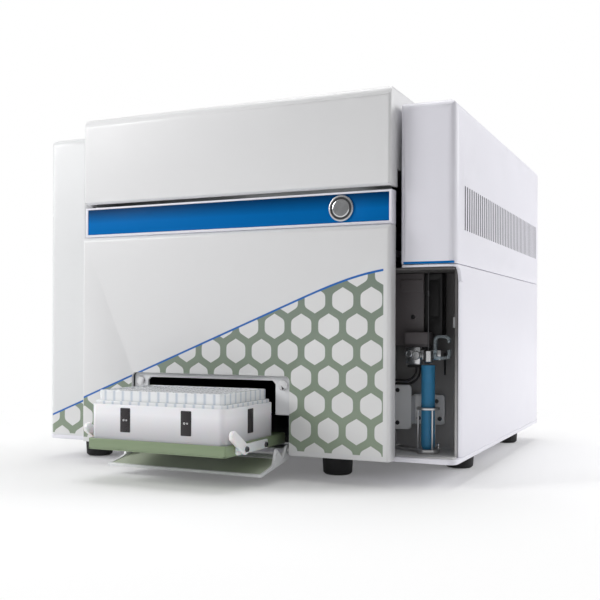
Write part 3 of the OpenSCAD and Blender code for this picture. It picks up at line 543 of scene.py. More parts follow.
def printedMaterial(name, color, rightEnd, lowerEnd):
    material, g, shader = newMaterial(name)
    skin = useGroup(g, "skin", Color=color, Drift=0.03, Roughness=0.4, Grain_Size=900.0)
    ink = useGroup(g, "print", Pitch=art["pitch"] * mm, Cell=art["cell"], Slope=art["slope"], Rise=art["rise"] * mm,
                   Level=art["level"] * mm, Line=art["line"] * mm, Right_End=rightEnd, Lower_End=lowerEnd)
    height = placeAxes(g)["Z"]
    field = g.mix(g.ramp(height, 0.16, 0.03), art["field"], art["fieldLow"])
    inked = g.mix(ink["Cells"], field, art["cells"])
    tone = g.mix(ink["Line"], g.mix(ink["Field"], skin["Color"], inked), art["blue"])
    surface(g, shader, tone, g.plus(skin["Roughness"], g.times(ink["Field"], -0.06)), skin["Height"])
    return material


# Finishes whose tone runs with the height on the piece, used for painted shade on the blue band, the bay liner and the
# adapter block
def gradedMaterial(name, lower, upper, lowAt, highAt, roughness, specular=0.5, subsurface=0.0):
    material, g, shader = newMaterial(name)
    height = placeAxes(g)["Z"]
    tone = g.mix(g.ramp(height, lowAt * mm, highAt * mm), lower, upper)
    skin = useGroup(g, "skin", Drift=0.04, Roughness=roughness, Grain_Size=700.0)
    surface(g, shader, g.mix(0.06, tone, skin["Color"], "MULTIPLY"), skin["Roughness"], skin["Height"], 0.01,
            Specular_IOR_Level=specular, Subsurface_Weight=subsurface, Subsurface_Scale=0.004)
    return material


# Clear moulding whose walls carry upright bars of painted shade, standing in for the wells seen through them
def wellWallMaterial(name, pitch, startX, startY):
    material, g, shader = newMaterial(name)
    axis = placeAxes(g)
    sideways = g.size(facing(g, "X"))
    along = g.add("ShaderNodeMix")
    g.feed(along.inputs[0], g.ramp(sideways, 0.4, 0.6))
    g.feed(along.inputs[2], g.minus(axis["X"], startX))
    g.feed(along.inputs[3], g.minus(axis["Y"], startY))
    bars = g.size(g.calc("SINE", g.times(along.outputs[0], math.pi / pitch)))
    upright = g.ramp(g.size(facing(g, "Z")), 0.3, 0.7, 1.0, 0.0)
    # Painted shade: bluish grey bars where the wells would be seen through the walls
    seenWellShade = g.times(g.ramp(bars, 0.15, 0.6, 1.0, 0.0), upright)
    surface(g, shader, g.mix(seenWellShade, rgb(251, 253, 255), rgb(214, 222, 233)),
            g.ramp(g.noise(objectPoint(g), 300.0, 3.0), 0.3, 0.8, 0.1, 0.18), IOR=1.45, Transmission_Weight=0.12)
    return material


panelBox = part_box("front_panel")
finish = {
    # Shell: white with a lavender tint that is painted light, the tint of the light on the right side; its vent slot
    # walls get painted shade
    "shell": skinMaterial("satinShellLavenderLit", rgb(234, 233, 241), dust=0.05, cuts=(212.5, 12.0, 382.0, 213.0, 261.0)),
    "hood": skinMaterial("satinHood", rgb(228, 228, 229), dust=0.05),
    "panel": printedMaterial("printedPanel", rgb(227, 227, 228), panelBox[1].x - 5.6 * mm, panelBox[0].z + 4.5 * mm),
    "pod": printedMaterial("printedPod", rgb(226, 227, 228), -0.1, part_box("left_cover")[0].z + 2.0 * mm),
    # Blue band: real blue below, turning dark navy towards its top, a painted shadow under the hood's lip
    "blue": gradedMaterial("glossBlueHoodShadow", rgb(0, 106, 180), rgb(0, 58, 104), 236, 248, roughness=0.5, specular=0.04),
    "steel": metalMaterial("brushedSteel", rgb(205, 205, 206)),
    "turned": metalMaterial("turnedSteel", rgb(200, 201, 203), roughness=0.2, along=(0.6, 0.6, 0.6), fineness=2600.0),
    "aluminium": metalMaterial("machinedAluminium", rgb(196, 198, 201), roughness=0.38, spread=0.2),
    "zinc": metalMaterial("zincSheet", rgb(170, 172, 173), roughness=0.45, along=(1, 1, 1), fineness=260.0, spread=0.4),
    # Bay liner: light grey low down, darker towards the top, painted shade inside the bay
    "liner": gradedMaterial("bayLinerShadedTop", rgb(205, 204, 205), rgb(92, 90, 90), 26, 130, roughness=0.5),
    "tunnel": skinMaterial("powderCoatBlack", rgb(40, 40, 42), roughness=0.6, drift=0.1, grain=1400.0, depth=0.05),
    "rubber": skinMaterial("footRubber", rgb(30, 30, 31), roughness=0.7, drift=0.2, grain=700.0, depth=0.05),
    "black": skinMaterial("blackMoulding", rgb(16, 15, 17), roughness=0.5, drift=0.1, worn=rgb(44, 44, 44)),
    "housing": skinMaterial("housingGrey", rgb(112, 107, 109), roughness=0.5, drift=0.08),
    "bumper": skinMaterial("paleBumper", rgb(226, 226, 228), roughness=0.5, drift=0.06),
    "grey": skinMaterial("greyMoulding", rgb(112, 110, 112), roughness=0.5, drift=0.08),
    "tray": skinMaterial("sageCoat", rgb(136, 153, 121), roughness=0.36, drift=0.06, worn=rgb(196, 208, 186),
                         coat=0.15),
    # Adapter block: milky white at its top, grey towards its base, painted shade under the top light and beside the
    # tray
    "block": gradedMaterial("milkyBlockShadedBase", rgb(168, 168, 172), rgb(246, 245, 249), 33, 60, roughness=0.42,
                            subsurface=0.15),
    "milky": skinMaterial("milkyMoulding", rgb(240, 240, 242), roughness=0.42, drift=0.05, subsurface=0.25),
    "pale": skinMaterial("paleCoat", rgb(238, 239, 241), roughness=0.35, drift=0.06, worn=rgb(232, 232, 230)),
    "anodised": skinMaterial("blackAnodised", rgb(34, 34, 37), roughness=0.32, drift=0.1, grain=1600.0, depth=0.01,
                             worn=rgb(96, 96, 100)),
    "board": skinMaterial("solderMask", rgb(20, 78, 48), roughness=0.3, drift=0.15, grain=500.0),
    "fibre": skinMaterial("fibreJacket", rgb(230, 120, 40), roughness=0.35),
    "tube": clearMaterial("blueTube", rgb(74, 166, 212), roughness=0.08, ior=1.25, transmission=0.5),
    "label": skinMaterial("labelBlack", rgb(32, 26, 30), roughness=0.3, drift=0.1),
    "plate": wellWallMaterial("plateClear", 9 * mm, -16.8 * mm, frontY - 54.8 * mm),
    "cups": clearMaterial("cupsClear", rgb(252, 253, 255), roughness=0.16, ior=1.4, transmission=0.06),
    "yoke": clearMaterial("yokeClear", rgb(214, 226, 232), roughness=0.1, ior=1.35, transmission=0.8),
    "sample": clearMaterial("sampleLiquid", rgb(96, 176, 218), roughness=0.06, ior=1.33, transmission=0.4),
    # Door inside: olive grey, painted shade beneath the tray with a painted green reflection of the tray
    "olive": skinMaterial("doorInsideShaded", rgb(186, 194, 174), roughness=0.5, drift=0.14, grain=1200.0, depth=0.03),
    # Near black for the slats and sheets behind the vents: painted shade inside the vents
    "screen": skinMaterial("ventShadeDark", rgb(26, 27, 30), roughness=0.6, drift=0.1),
    "screw": metalMaterial("darkScrew", rgb(92, 92, 94), roughness=0.35, along=(1, 1, 1)),
    "bright": metalMaterial("brightScrew", rgb(198, 198, 200), roughness=0.25, along=(1, 1, 1)),
    "chip": skinMaterial("chipBlack", rgb(30, 30, 33), roughness=0.4, drift=0.2),
    # Dark ring round the button: a painted dark reflection on its steel ring
    "groove": skinMaterial("buttonRing", rgb(52, 52, 56), roughness=0.4, drift=0.1),
}
print("finishes ready:", len(finish))

# Geometry node trees: their inputs are set on the modifier, and what grows is baked to a plain mesh

def growTree(name, **inputs):
    tree = bpy.data.node_groups.new(name, "GeometryNodeTree")
    sockets = addInputs(tree, inputs)
    sockets["Finish"] = tree.interface.new_socket("Finish", in_out="INPUT", socket_type="NodeSocketMaterial").identifier
    tree.interface.new_socket("Geometry", in_out="OUTPUT", socket_type="NodeSocketGeometry")
    g = Graph(tree)
    return {"tree": tree, "sockets": sockets}, g, g.add("NodeGroupInput").outputs


def shape(g, kind, settings=None, **sockets):
    return g.made("GeometryNode" + kind, settings, **sockets)


def carved(g, solid, cutter):
    return shape(g, "MeshBoolean", settings={"operation": "DIFFERENCE"}, Mesh_1=solid, Mesh_2=cutter)


def aligned(g, axis, vector):
    return g.made("FunctionNodeAlignRotationToVector", settings={"axis": axis}, Vector=vector)


def closeTree(g, given, geometry):
    whole = shape(g, "RealizeInstances", Geometry=geometry)
    g.feed(g.add("NodeGroupOutput").inputs[0], shape(g, "SetMaterial", Geometry=whole, Material=given["Finish"]))


def point3(g, x=0.0, y=0.0, z=0.0):
    node = g.add("ShaderNodeCombineXYZ")
    for socket, value in zip(node.inputs, (x, y, z)):
        g.feed(socket, value)
    return node.outputs[0]


# Screw heads on the points of a mesh, each turned to its point's facing
def makeScrewTree():
    kit, g, given = growTree("screwHeads", Places=None, Head_Radius=0.003, Head_Height=0.0018, Drive_Radius=0.0014,
                             Drive_Depth=0.0009, Drive_Sides=6)
    cap = shape(g, "MeshCone", Vertices=24, Side_Segments=2, Radius_Bottom=given["Head Radius"],
                Radius_Top=g.times(given["Head Radius"], 0.84), Depth=given["Head Height"])
    drive = shape(g, "MeshCylinder", Vertices=given["Drive Sides"], Radius=given["Drive Radius"],
                  Depth=g.times(given["Drive Depth"], 2.0))
    lifted = shape(g, "Transform", Geometry=drive, Translation=point3(g, z=given["Head Height"]))
    way = shape(g, "InputNamedAttribute", settings={"data_type": "FLOAT_VECTOR"}, Name="facing")
    closeTree(g, given, shape(g, "InstanceOnPoints", Points=given["Places"], Instance=carved(g, cap, lifted),
                              Rotation=aligned(g, "Z", way)))
    return kit


# Row of equal bars, each turned by the same angles
def makeSlatTree():
    kit, g, given = growTree("slatRow", Start=(0, 0, 0), Step=(0, 0.01, 0), Count=10, Slat_Size=(0.001, 0.004, 0.03),
                             Turn=(0, 0, 0))
    row = shape(g, "MeshLine", Count=given["Count"], Start_Location=given["Start"], Offset=given["Step"])
    slat = shape(g, "MeshCube", Size=given["Slat Size"])
    turned = shape(g, "Transform", Geometry=slat, Rotation=given["Turn"])
    closeTree(g, given, shape(g, "InstanceOnPoints", Points=row, Instance=turned))
    return kit


# Wire guard: rings about a centre, crossed by spokes, facing the back
def makeGuardTree():
    kit, g, given = growTree("wireGuard", Centre=(0, 0, 0), Rings=4, Inner_Radius=0.01, Pitch=0.008,
                             Wire_Radius=0.001, Spokes=2, Reach=0.046)
    index = shape(g, "InputIndex")
    wire = shape(g, "CurvePrimitiveCircle", Resolution=10, Radius=given["Wire Radius"])
    ringRow = shape(g, "MeshLine", Count=given["Rings"], Offset=(0, 0, 0))
    ring = shape(g, "CurvePrimitiveCircle", Resolution=56, Radius=1.0)
    radius = g.calc("MULTIPLY_ADD", index, given["Pitch"], given["Inner Radius"])
    rings = shape(g, "RealizeInstances", Geometry=shape(
        g, "InstanceOnPoints", Points=ringRow, Instance=ring, Scale=point3(g, radius, radius, radius)))
    spokeRow = shape(g, "MeshLine", Count=given["Spokes"], Offset=(0, 0, 0))
    spoke = shape(g, "CurvePrimitiveLine", Start=point3(g, g.times(given["Reach"], -1.0)),
                  End=point3(g, given["Reach"]))
    share = g.calc("DIVIDE", math.pi, given["Spokes"])
    turn = g.calc("MULTIPLY_ADD", index, share, g.times(share, 0.5))
    lift = shape(g, "Transform", Geometry=spoke, Translation=point3(g, z=g.times(given["Wire Radius"], -1.2)))
    spokes = shape(g, "RealizeInstances", Geometry=shape(
        g, "InstanceOnPoints", Points=spokeRow, Instance=lift, Rotation=point3(g, z=turn)))
    both = g.add("GeometryNodeJoinGeometry")
    for curve in (rings, spokes):
        g.feed(both.inputs[0], shape(g, "CurveToMesh", Curve=curve, Profile_Curve=wire, Fill_Caps=True))
    closeTree(g, given, shape(g, "Transform", Geometry=both.outputs[0], Translation=given["Centre"],
                              Rotation=(-math.pi / 2, 0, 0)))
    return kit


# Wells of a microplate: open cups in rows and columns
def makeWellTree():
    kit, g, given = growTree("wellCups", Centre=(0, 0, 0), Columns=12, Rows=8, Pitch=0.009, Radius=0.0034,
                             Wall=0.0006, Depth=0.0107)
    wide = g.times(g.minus(given["Columns"], 1), given["Pitch"])
    deep = g.times(g.minus(given["Rows"], 1), given["Pitch"])
    grid = shape(g, "MeshGrid", Size_X=wide, Size_Y=deep, Vertices_X=given["Columns"], Vertices_Y=given["Rows"])
    placed = shape(g, "Transform", Geometry=grid, Translation=given["Centre"])
    outer = shape(g, "MeshCylinder", Vertices=20, Radius=g.plus(given["Radius"], given["Wall"]), Depth=given["Depth"])
    inner = shape(g, "MeshCylinder", Vertices=20, Radius=given["Radius"], Depth=given["Depth"])
    lifted = shape(g, "Transform", Geometry=inner, Translation=point3(g, z=given["Wall"]))
    closeTree(g, given, shape(g, "InstanceOnPoints", Points=placed, Instance=carved(g, outer, lifted)))
    return kit


# Teeth that follow a closed path, each across it
def makeToothTree():
    kit, g, given = growTree("beltTeeth", Path=None, Spacing=0.002, Tooth_Size=(0.001, 0.004, 0.0006))
    path = shape(g, "MeshToCurve", Mesh=given["Path"])
    spaced = shape(g, "ResampleCurve", settings={"mode": "LENGTH"}, Curve=path, Length=given["Spacing"])
    tooth = shape(g, "MeshCube", Size=given["Tooth Size"])
    closeTree(g, given, shape(g, "InstanceOnPoints", Points=spaced, Instance=tooth,
                              Rotation=aligned(g, "Y", shape(g, "InputTangent"))))
    return kit


# Ribs that stand round an upright axis
def makeCrownTree():
    kit, g, given = growTree("ribCrown", Centre=(0, 0, 0), Count=24, Radius=0.01, Rib_Size=(0.001, 0.001, 0.01))
    index = shape(g, "InputIndex")
    turn = g.times(index, g.calc("DIVIDE", math.tau, given["Count"]))
    row = shape(g, "MeshLine", Count=given["Count"], Offset=(0, 0, 0))
    rib = shape(g, "MeshCube", Size=given["Rib Size"])
    rib = shape(g, "Transform", Geometry=rib, Translation=point3(g, given["Radius"]))
    ribs = shape(g, "InstanceOnPoints", Points=row, Instance=rib, Rotation=point3(g, z=turn))
    closeTree(g, given, shape(g, "Transform", Geometry=ribs, Translation=given["Centre"]))
    return kit


# Small parts on a circuit board: a grid thinned and sized by a fixed seed
def makeChipTree():
    kit, g, given = growTree("boardChips", Centre=(0, 0, 0), Spread_X=0.1, Spread_Y=0.1, Count_X=10, Count_Y=10,
                             Share=0.6, Chip_Size=(0.004, 0.003, 0.002), Seed=3)
    grid = shape(g, "MeshGrid", Size_X=given["Spread X"], Size_Y=given["Spread Y"], Vertices_X=given["Count X"],
                 Vertices_Y=given["Count Y"])
    placed = shape(g, "Transform", Geometry=grid, Translation=given["Centre"])
    keep = g.add("FunctionNodeRandomValue", data_type="BOOLEAN")
    g.feed(next(s for s in keep.inputs if s.name == "Probability"), given["Share"])
    g.feed(next(s for s in keep.inputs if s.name == "Seed"), given["Seed"])
    size = g.add("FunctionNodeRandomValue", data_type="FLOAT_VECTOR")
    g.feed(size.inputs[0], (0.6, 0.6, 1.0))
    g.feed(size.inputs[1], (1.3, 1.3, 1.0))
    g.feed(next(s for s in size.inputs if s.name == "Seed"), given["Seed"])
    chip = shape(g, "MeshCube", Size=given["Chip Size"])
    chips = shape(g, "InstanceOnPoints", Points=placed, Instance=chip, Selection=keep.outputs[3], Scale=size.outputs[0])
    closeTree(g, given, chips)
    return kit


kits = {"screws": makeScrewTree(), "slats": makeSlatTree(), "guard": makeGuardTree(), "wells": makeWellTree(),
        "teeth": makeToothTree(), "crown": makeCrownTree(), "chips": makeChipTree()}


def grown(name, key, look, body, slotName, nodes=(), base=None, **values):
    kit = kits[key]
    obj = linked(bpy.data.objects.new(name, base or bpy.data.meshes.new(name)))
    modifier = obj.modifiers.new("grow", "NODES")
    modifier.node_group = kit["tree"]
    modifier[kit["sockets"]["Finish"]] = finish[look]
    for label, value in values.items():
        modifier[kit["sockets"][label]] = value
    applyModifiers(obj)
    bm = bmesh.new()
    bm.from_mesh(obj.data)
    bmesh.ops.recalc_face_normals(bm, faces=bm.faces)
    bm.to_mesh(obj.data)
    bm.free()
    smoothBelow(obj, 35)
    return seat(obj, body, None, nodes)


# Screws at (place, facing) pairs
def screws(name, places, radius, look, body="cabinet", sides=6):
    mesh = bpy.data.meshes.new(name)
    mesh.from_pydata([tuple(p) for p, _ in places], [], [])
    facing = mesh.attributes.new("facing", "FLOAT_VECTOR", "POINT")
    for entry, (_, way) in zip(facing.data, places):
        entry.vector = way
    return grown(name, "screws", look, body, "brushed_metal", base=mesh, Head_Radius=radius * mm,
                 Head_Height=radius * 0.6 * mm, Drive_Radius=radius * 0.48 * mm, Drive_Depth=radius * 0.3 * mm,
                 Drive_Sides=sides)


# Which finish and which edge radius each CAD piece gets
dressed = {
    "base_pan": ("shell", 0.5), "feet": ("rubber", 0.4), "chassis_frame": ("zinc", 0.2),
    "optics_deck": ("aluminium", 0.4), "left_cover": ("pod", 0.4), "right_upper_cover": ("shell", 0.35),
    "right_lower_cover": ("shell", 0.5), "rear_panel": ("shell", 0.4), "front_panel": ("panel", 0.45),
    "band_bezel": ("shell", 0.4), "blue_band": ("blue", 0.2), "trim_stripe": ("blue", 0.15),
    "button_ring": ("steel", 0.5), "hood": ("hood", 0.5), "hood_hinge_lugs": ("steel", 0.3),
    "hood_hinge_base": ("steel", 0.3), "door_bumpers": ("bumper", 0.5), "loader_tunnel": ("tunnel", 0.3),
    "loader_rods": ("turned", 0.3), "loader_belt": ("rubber", 0.2), "loader_pulleys": ("aluminium", 0.3),
    "loader_motor": ("anodised", 0.4), "door_brackets": ("steel", 0.3), "tray_carriage": ("aluminium", 0.3),
    "bay_liner": ("liner", 0.3), "bay_bracket": ("pale", 0.3), "tube_arm": ("steel", 0.4),
    "tube_cage": ("steel", 0.2), "sample_tube": ("tube", 0), "needle_lift": ("aluminium", 0.3),
    "flow_cell": ("anodised", 0.4), "laser_modules": ("anodised", 0.4), "detector_modules": ("black", 0.5),
    "fibre_lines": ("fibre", 0), "sheath_pump": ("grey", 0.5), "sheath_filter": ("milky", 0.5),
    "main_board": ("board", 0.1), "power_supply": ("zinc", 0.3), "fan_frame": ("black", 0.4),
    "fan_rotor": ("black", 0.3), "power_inlet": ("black", 0.4), "power_rocker": ("black", 0.5),
    "fluid_ports": ("turned", 0.2),
}


def camel(node):
    first, *rest = node.split("_")
    return first + "".join(word.capitalize() for word in rest)


for node, (look, width) in dressed.items():
    roundedNode(node, camel(node), finish[look], width)
print("pieces dressed:", len(dressed))


# Plate loader: tray, adapter block, microplate, clips, door and bezel

loaderX = -16.8

tray = {
    "half": 67.7, "front": -101.2, "back": 12.0, "top": 38.0, "under": 28.4, "floor": 31.7,
    "rimLow": 29.05, "floorLow": 29.1, "floorInset": 0.6, "floorShort": 12,
    "skirt": (2, 30),                                 # thickness and upper edge
    "windows": (-40, 0, 40), "window": (12, 21, 76),      # half width, start and end behind the front
}


def makeTray():
    t, b, x = tray, block, loaderX
    thick, skirtTop = t["skirt"]
    halfWindow, near, far = t["window"]
    inset = t["floorInset"]
    rim = spanLoop(x, t["half"], t["front"], t["back"], 1.2)
    pocket = spanLoop(x, b["half"] + b["play"], b["front"] - b["play"], b["back"] + b["play"], b["corner"])
    windows = [spanLoop(x + w, halfWindow, t["front"] + near, t["front"] + far, 4) for w in t["windows"]]
    floor = spanLoop(x, t["half"] - inset, t["front"] + inset, t["back"] - t["floorShort"], 2)
    bm = bmesh.new()
    plateInto(bm, [rim, pocket], t["rimLow"], t["top"], edge=0.45)
    plateInto(bm, [floor, *windows], t["floorLow"], t["floor"])
    boxInto(bm, (x - t["half"], t["front"], t["under"]), (x + t["half"], t["front"] + thick, skirtTop), 0.3)
    for side in (-1, 1):
        low, high = sorted((x + side * t["half"], x + side * (t["half"] - thick)))
        boxInto(bm, (low, t["front"], t["under"]), (high, t["back"], skirtTop), 0.3)
    asPiece("tray", bm, "tray", "tray", "tray")


block = {"half": 66.2, "front": -99.9, "back": -9.7, "corner": 6.0, "low": 31.8, "top": 67.5, "seat": 2.7, "play": 0.3}
plate = {"halfX": 63.88, "halfY": 42.74, "foot": 5.5, "inset": 2.2, "wall": 1.3, "height": 14.35, "columns": 12,
         "rows": 8, "pitch": 9.0, "well": 3.4, "cupWall": 0.6, "cupDepth": 11.0, "deck": (2.3, 0.9)}
blockMiddle = (block["front"] + block["back"]) / 2


def makeBlock():
    b, p, x = block, plate, loaderX

    def outer(inset):
        return spanLoop(x, b["half"] - inset, b["front"] + inset, b["back"] - inset, b["corner"] - inset)

    def ledge(gap, corner):
        return spanLoop(x, p["halfX"] + gap, blockMiddle - p["halfY"] - gap, blockMiddle + p["halfY"] + gap, corner)

    top = b["top"]
    sections = ((outer(0.8), b["low"]), (outer(0), b["low"] + 0.8), (outer(0), top - 0.7), (outer(0.2), top - 0.2),
                (outer(0.7), top), (ledge(0.8, 3.8), top), (ledge(0.35, 3.3), top - 0.4),
                (ledge(0.3, 3.2), top - b["seat"]))
    bm = bmesh.new()
    skinInto(bm, [[bm.verts.new(at(u, v, z)) for u, v in loop] for loop, z in sections])
    asPiece("adapterBlock", bm, "block", "tray", "plate_adapter")


labels = {"half": 5.0, "low": 44.4, "high": 65.0, "front": (-30.2, 30.0), "proud": 0.25, "thick": 0.5, "corner": 0.7,
          "rings": ((-1.5, 0.9), (1.3, 0.7)), "ringHole": 0.55, "ringThick": 0.25}


def makeLabels():
    l, b = labels, block
    front, side = b["front"] - l["proud"], loaderX + b["half"] + l["proud"]
    bm = bmesh.new()
    for middle, low, axis in ((loaderX + l["front"][0], front, "y"), (loaderX + l["front"][1], front, "y"),
                              (blockMiddle, side - l["thick"], "x")):
        outline = spanLoop(middle, l["half"], l["low"], l["high"], l["corner"])
        plateInto(bm, [outline], low, low + l["thick"], axis, 0.1)
    asPiece("adapterLabels", bm, "label", "tray", "adapter_labels")
    bm = bmesh.new()
    for x in l["front"]:
        for shift, r in l["rings"]:
            turnInto(bm, ringProfile(r * l["ringHole"], r, 0, l["ringThick"]),
                     at(loaderX + x + shift, front + 0.1, (l["low"] + l["high"]) / 2), "y", 16)
    asPiece("labelRings", bm, "pale", "tray", "adapter_labels", added=True)


def makeMicroplate():
    p, x, middle = plate, loaderX, blockMiddle
    base = block["top"] - block["seat"] + 0.1
    top, step = base + p["height"], base + p["foot"]

    def outline(inset, corner):
        return spanLoop(x, p["halfX"] - inset, middle - p["halfY"] + inset, middle + p["halfY"] - inset, corner)

    wells = [circleLoop(x + (i - (p["columns"] - 1) / 2) * p["pitch"], middle + (j - (p["rows"] - 1) / 2) * p["pitch"],
                        p["well"] + 0.3, 16) for i in range(p["columns"]) for j in range(p["rows"])]
    inner = outline(p["inset"] + p["wall"], 3)
    bm = bmesh.new()
    plateInto(bm, [outline(0, 3), inner], base, step, edge=0.4)
    plateInto(bm, [outline(p["inset"], 4), inner], step - 0.05, top - 0.05, edge=0.4)
    plateInto(bm, [outline(p["inset"] + 0.6, 3.6), *wells], *(top - drop for drop in p["deck"]), edge=0.15)
    asPiece("microplate", bm, "plate", "tray", "well_plate")
    grown("wellCups", "wells", "cups", "tray", slotOf("well_plate"), Columns=p["columns"], Rows=p["rows"],
          Centre=at(x, middle, top - 0.5 - p["cupDepth"] / 2), Pitch=p["pitch"] * mm, Radius=p["well"] * mm,
          Wall=p["cupWall"] * mm, Depth=p["cupDepth"] * mm)


clip = {
    "y": -76.0, "z": 33.4, "length": 27.6, "lean": 32.0, "half": 4.2, "cut": 2.4, "thick": 3.6, "eye": 4.5,
    "pin": 1.5, "hole": 1.65, "play": 0.3,
    "bar": (-85.5, -28.5, 28.9, 36.7), "barThick": 2.0, "barScrew": (-32.4, 32.2), "barGap": 0.1, "screw": 2.5,
}


def makeClips():
    c = clip
    tip, edge, r = c["length"] - c["cut"], c["half"] - c["cut"], c["eye"]
    lever = [(c["length"], edge), (tip, c["half"]), *[(r * math.cos(a), r * math.sin(a)) for a in fan(90, 12, 16)],
             (tip, -c["half"]), (c["length"], -edge)]
    turn = math.radians(180 - c["lean"])
    cos, sin = math.cos(turn), math.sin(turn)
    lever = [(c["y"] + u * cos - v * sin, c["z"] + u * sin + v * cos) for u, v in lever]
    inner = tray["half"] + c["barGap"]
    low = inner + c["barThick"] + c["play"]
    high = low + c["thick"]
    bars = bmesh.new()
    heads = []
    for side, body in ((-1, "clip_left"), (1, "clip_right")):

        def beside(out, y, z):
            return at(loaderX + side * out, y, z)

        bar = roundedLoop(*c["bar"], (1, 1, 3.6, 3.6))
        plateInto(bars, [bar], loaderX + side * inner, loaderX + side * (inner + c["barThick"]), "x")
        barInto(bars, [beside(inner, c["y"], c["z"]), beside(high, c["y"], c["z"])], c["pin"])
        bm = bmesh.new()
        hole = circleLoop(c["y"], c["z"], c["hole"])
        plateInto(bm, [lever, hole], loaderX + side * low, loaderX + side * high, "x", 0.5)
        asPiece(camel(body), bm, "milky", body, body)
        heads += [(beside(high + 0.1, c["y"], c["z"]), (side, 0, 0)),
                  (beside(inner + c["barThick"], *c["barScrew"]), (side, 0, 0))]
    asPiece("clipBars", bars, "milky", "tray", "clip_bars")
    screws("clipScrews", heads, c["screw"], "screw", "tray", 4)


door = {
    "half": 78.5, "low": 20.7, "top": 80.5, "out": -14.0, "thick": 2.5, "sheet": (0.15, 1.35), "y": -5.0, "z": 25.0,
    "open": 99.0, "lug": (75.9, 78.4), "rim": 2.6, "pin": 2.1, "eye": 4.0, "lowerRim": 12.0,
    "stay": (-2.2, 46.6, 1.2), "lap": 0.4, "inside": (1.3, 1.9),
    # outline of the side lug above its eye, as y and z
    "lugEdge": ((-10.2, 36.6), (0.4, 45.4), (1.2, 46.8), (0.6, 48.6), (-10.4, 55.0), (-11.4, 64.0), (-11.5, 78.5),
                (-13.0, 79.5)),
}


def makeDoor():
    d, x = door, loaderX
    pivot = at(0, d["y"], d["z"])
    swing = Matrix.Translation(pivot) @ Matrix.Rotation(math.radians(d["open"]), 4, "X") @ Matrix.Translation(-pivot)
    rim = spanLoop(x, d["half"], d["low"], d["top"], (1, 2, 2, 1))
    inner = spanLoop(x, d["half"] - d["rim"], d["low"] + d["lowerRim"], d["top"] - d["rim"], 2)
    eye = [(d["y"] + d["eye"] * math.cos(a), d["z"] + d["eye"] * math.sin(a)) for a in fan(-80, 12, 13)]
    lug = [(-13.0, 20.9), *eye, *d["lugEdge"]]
    near, far = d["lug"]
    bm = bmesh.new()
    plateInto(bm, [rim, inner], d["out"], d["out"] + d["thick"], "y", 0.35)
    lining = spanLoop(x, d["half"] - 1, d["low"] + 1, d["top"] - 1, 1)
    plateInto(bm, [lining], *(d["out"] + level for level in d["sheet"]), "y", 0.2)
    for side in (-1, 1):
        plateInto(bm, [lug, circleLoop(d["y"], d["z"], d["pin"]), circleLoop(*d["stay"])], x + side * near,
                  x + side * far, "x", 0.3)
    bm.transform(swing)
    asPiece("doorFrame", bm, "pale", "door", "loader_door")
    # A lining inside the door frame that carries the painted shade and the tray's painted green reflection
    lap = d["lap"]
    lining = spanLoop(x, d["half"] - d["rim"] + lap, d["low"] + d["lowerRim"] - lap, d["top"] - d["rim"] + lap, 2)
    bm = bmesh.new()
    plateInto(bm, [lining], *(d["out"] + level for level in d["inside"]), "y", 0.15)
    bm.transform(swing)
    asPiece("doorInsideShaded", bm, "olive", "door", "loader_door", added=True)


bezel = {"half": 83.0, "low": 30.1, "top": 90.2, "ear": 67.8, "earZ": 56.0, "earTop": 86.4, "wall": 1.7, "face": -9.5,
         "thick": 3.0, "back": 2.0, "corner": 4.0, "chamfer": 3.0}


def makeBezel():
    b, x = bezel, loaderX
    wide, ear, cut = b["half"] - b["wall"], b["ear"], b["chamfer"]
    corners = spanLoop(x, b["half"], 0, b["top"], b["corner"])[7:21]      # the two upper ones
    rim = [(x - b["half"], b["low"]), *corners[::-1], (x + b["half"], b["low"])]

    def arch(*steps):    # half of an opening as (half width, height), mirrored to its other side
        half = [(wide, b["low"]), *steps]
        return [(x + u, z) for u, z in half] + [(x - u, z) for u, z in reversed(half)]

    front = [*rim, *arch((wide, b["earZ"]), (ear, b["earZ"]), (ear, b["earTop"] - cut), (ear - cut, b["earTop"]))]
    sides = [*rim, *arch((wide, b["top"] - b["wall"]))]
    inside = b["face"] + b["thick"]
    bm = bmesh.new()
    plateInto(bm, [front], b["face"], inside, "y", 0.35)
    plateInto(bm, [sides], inside - 0.2, b["back"] + 0.2, "y", 0.2)
    asPiece("loaderBezel", bm, "pale", "cabinet", "loader_bezel")


# Tube station: probe housing, column, wash station, leads and needle

station = {
    "left": 140.2, "back": 64.8, "top": 183.2, "tubeX": 180.0, "tubeY": 30.0,
    "housing": (169.9, 50.0, 118.4),      # right side, front and underside
    "step": (155.0, 178.0, 39.0, 130.5), "label": (148.5, 169.6, 166.4, 177.6),
    "column": (170.2, 186.6, 51.0, 127.9), "channel": (3.4, 16, 6),      # rims at the sides, foot and head
    "sensor": ((196.7, 49, 134.2), (203.7, 143.9)), "lensAt": (200.2, 139),
    "lens": (1.8, 1.3, 1.2, 1.6),         # radii of its rim and its front, then their heights
}


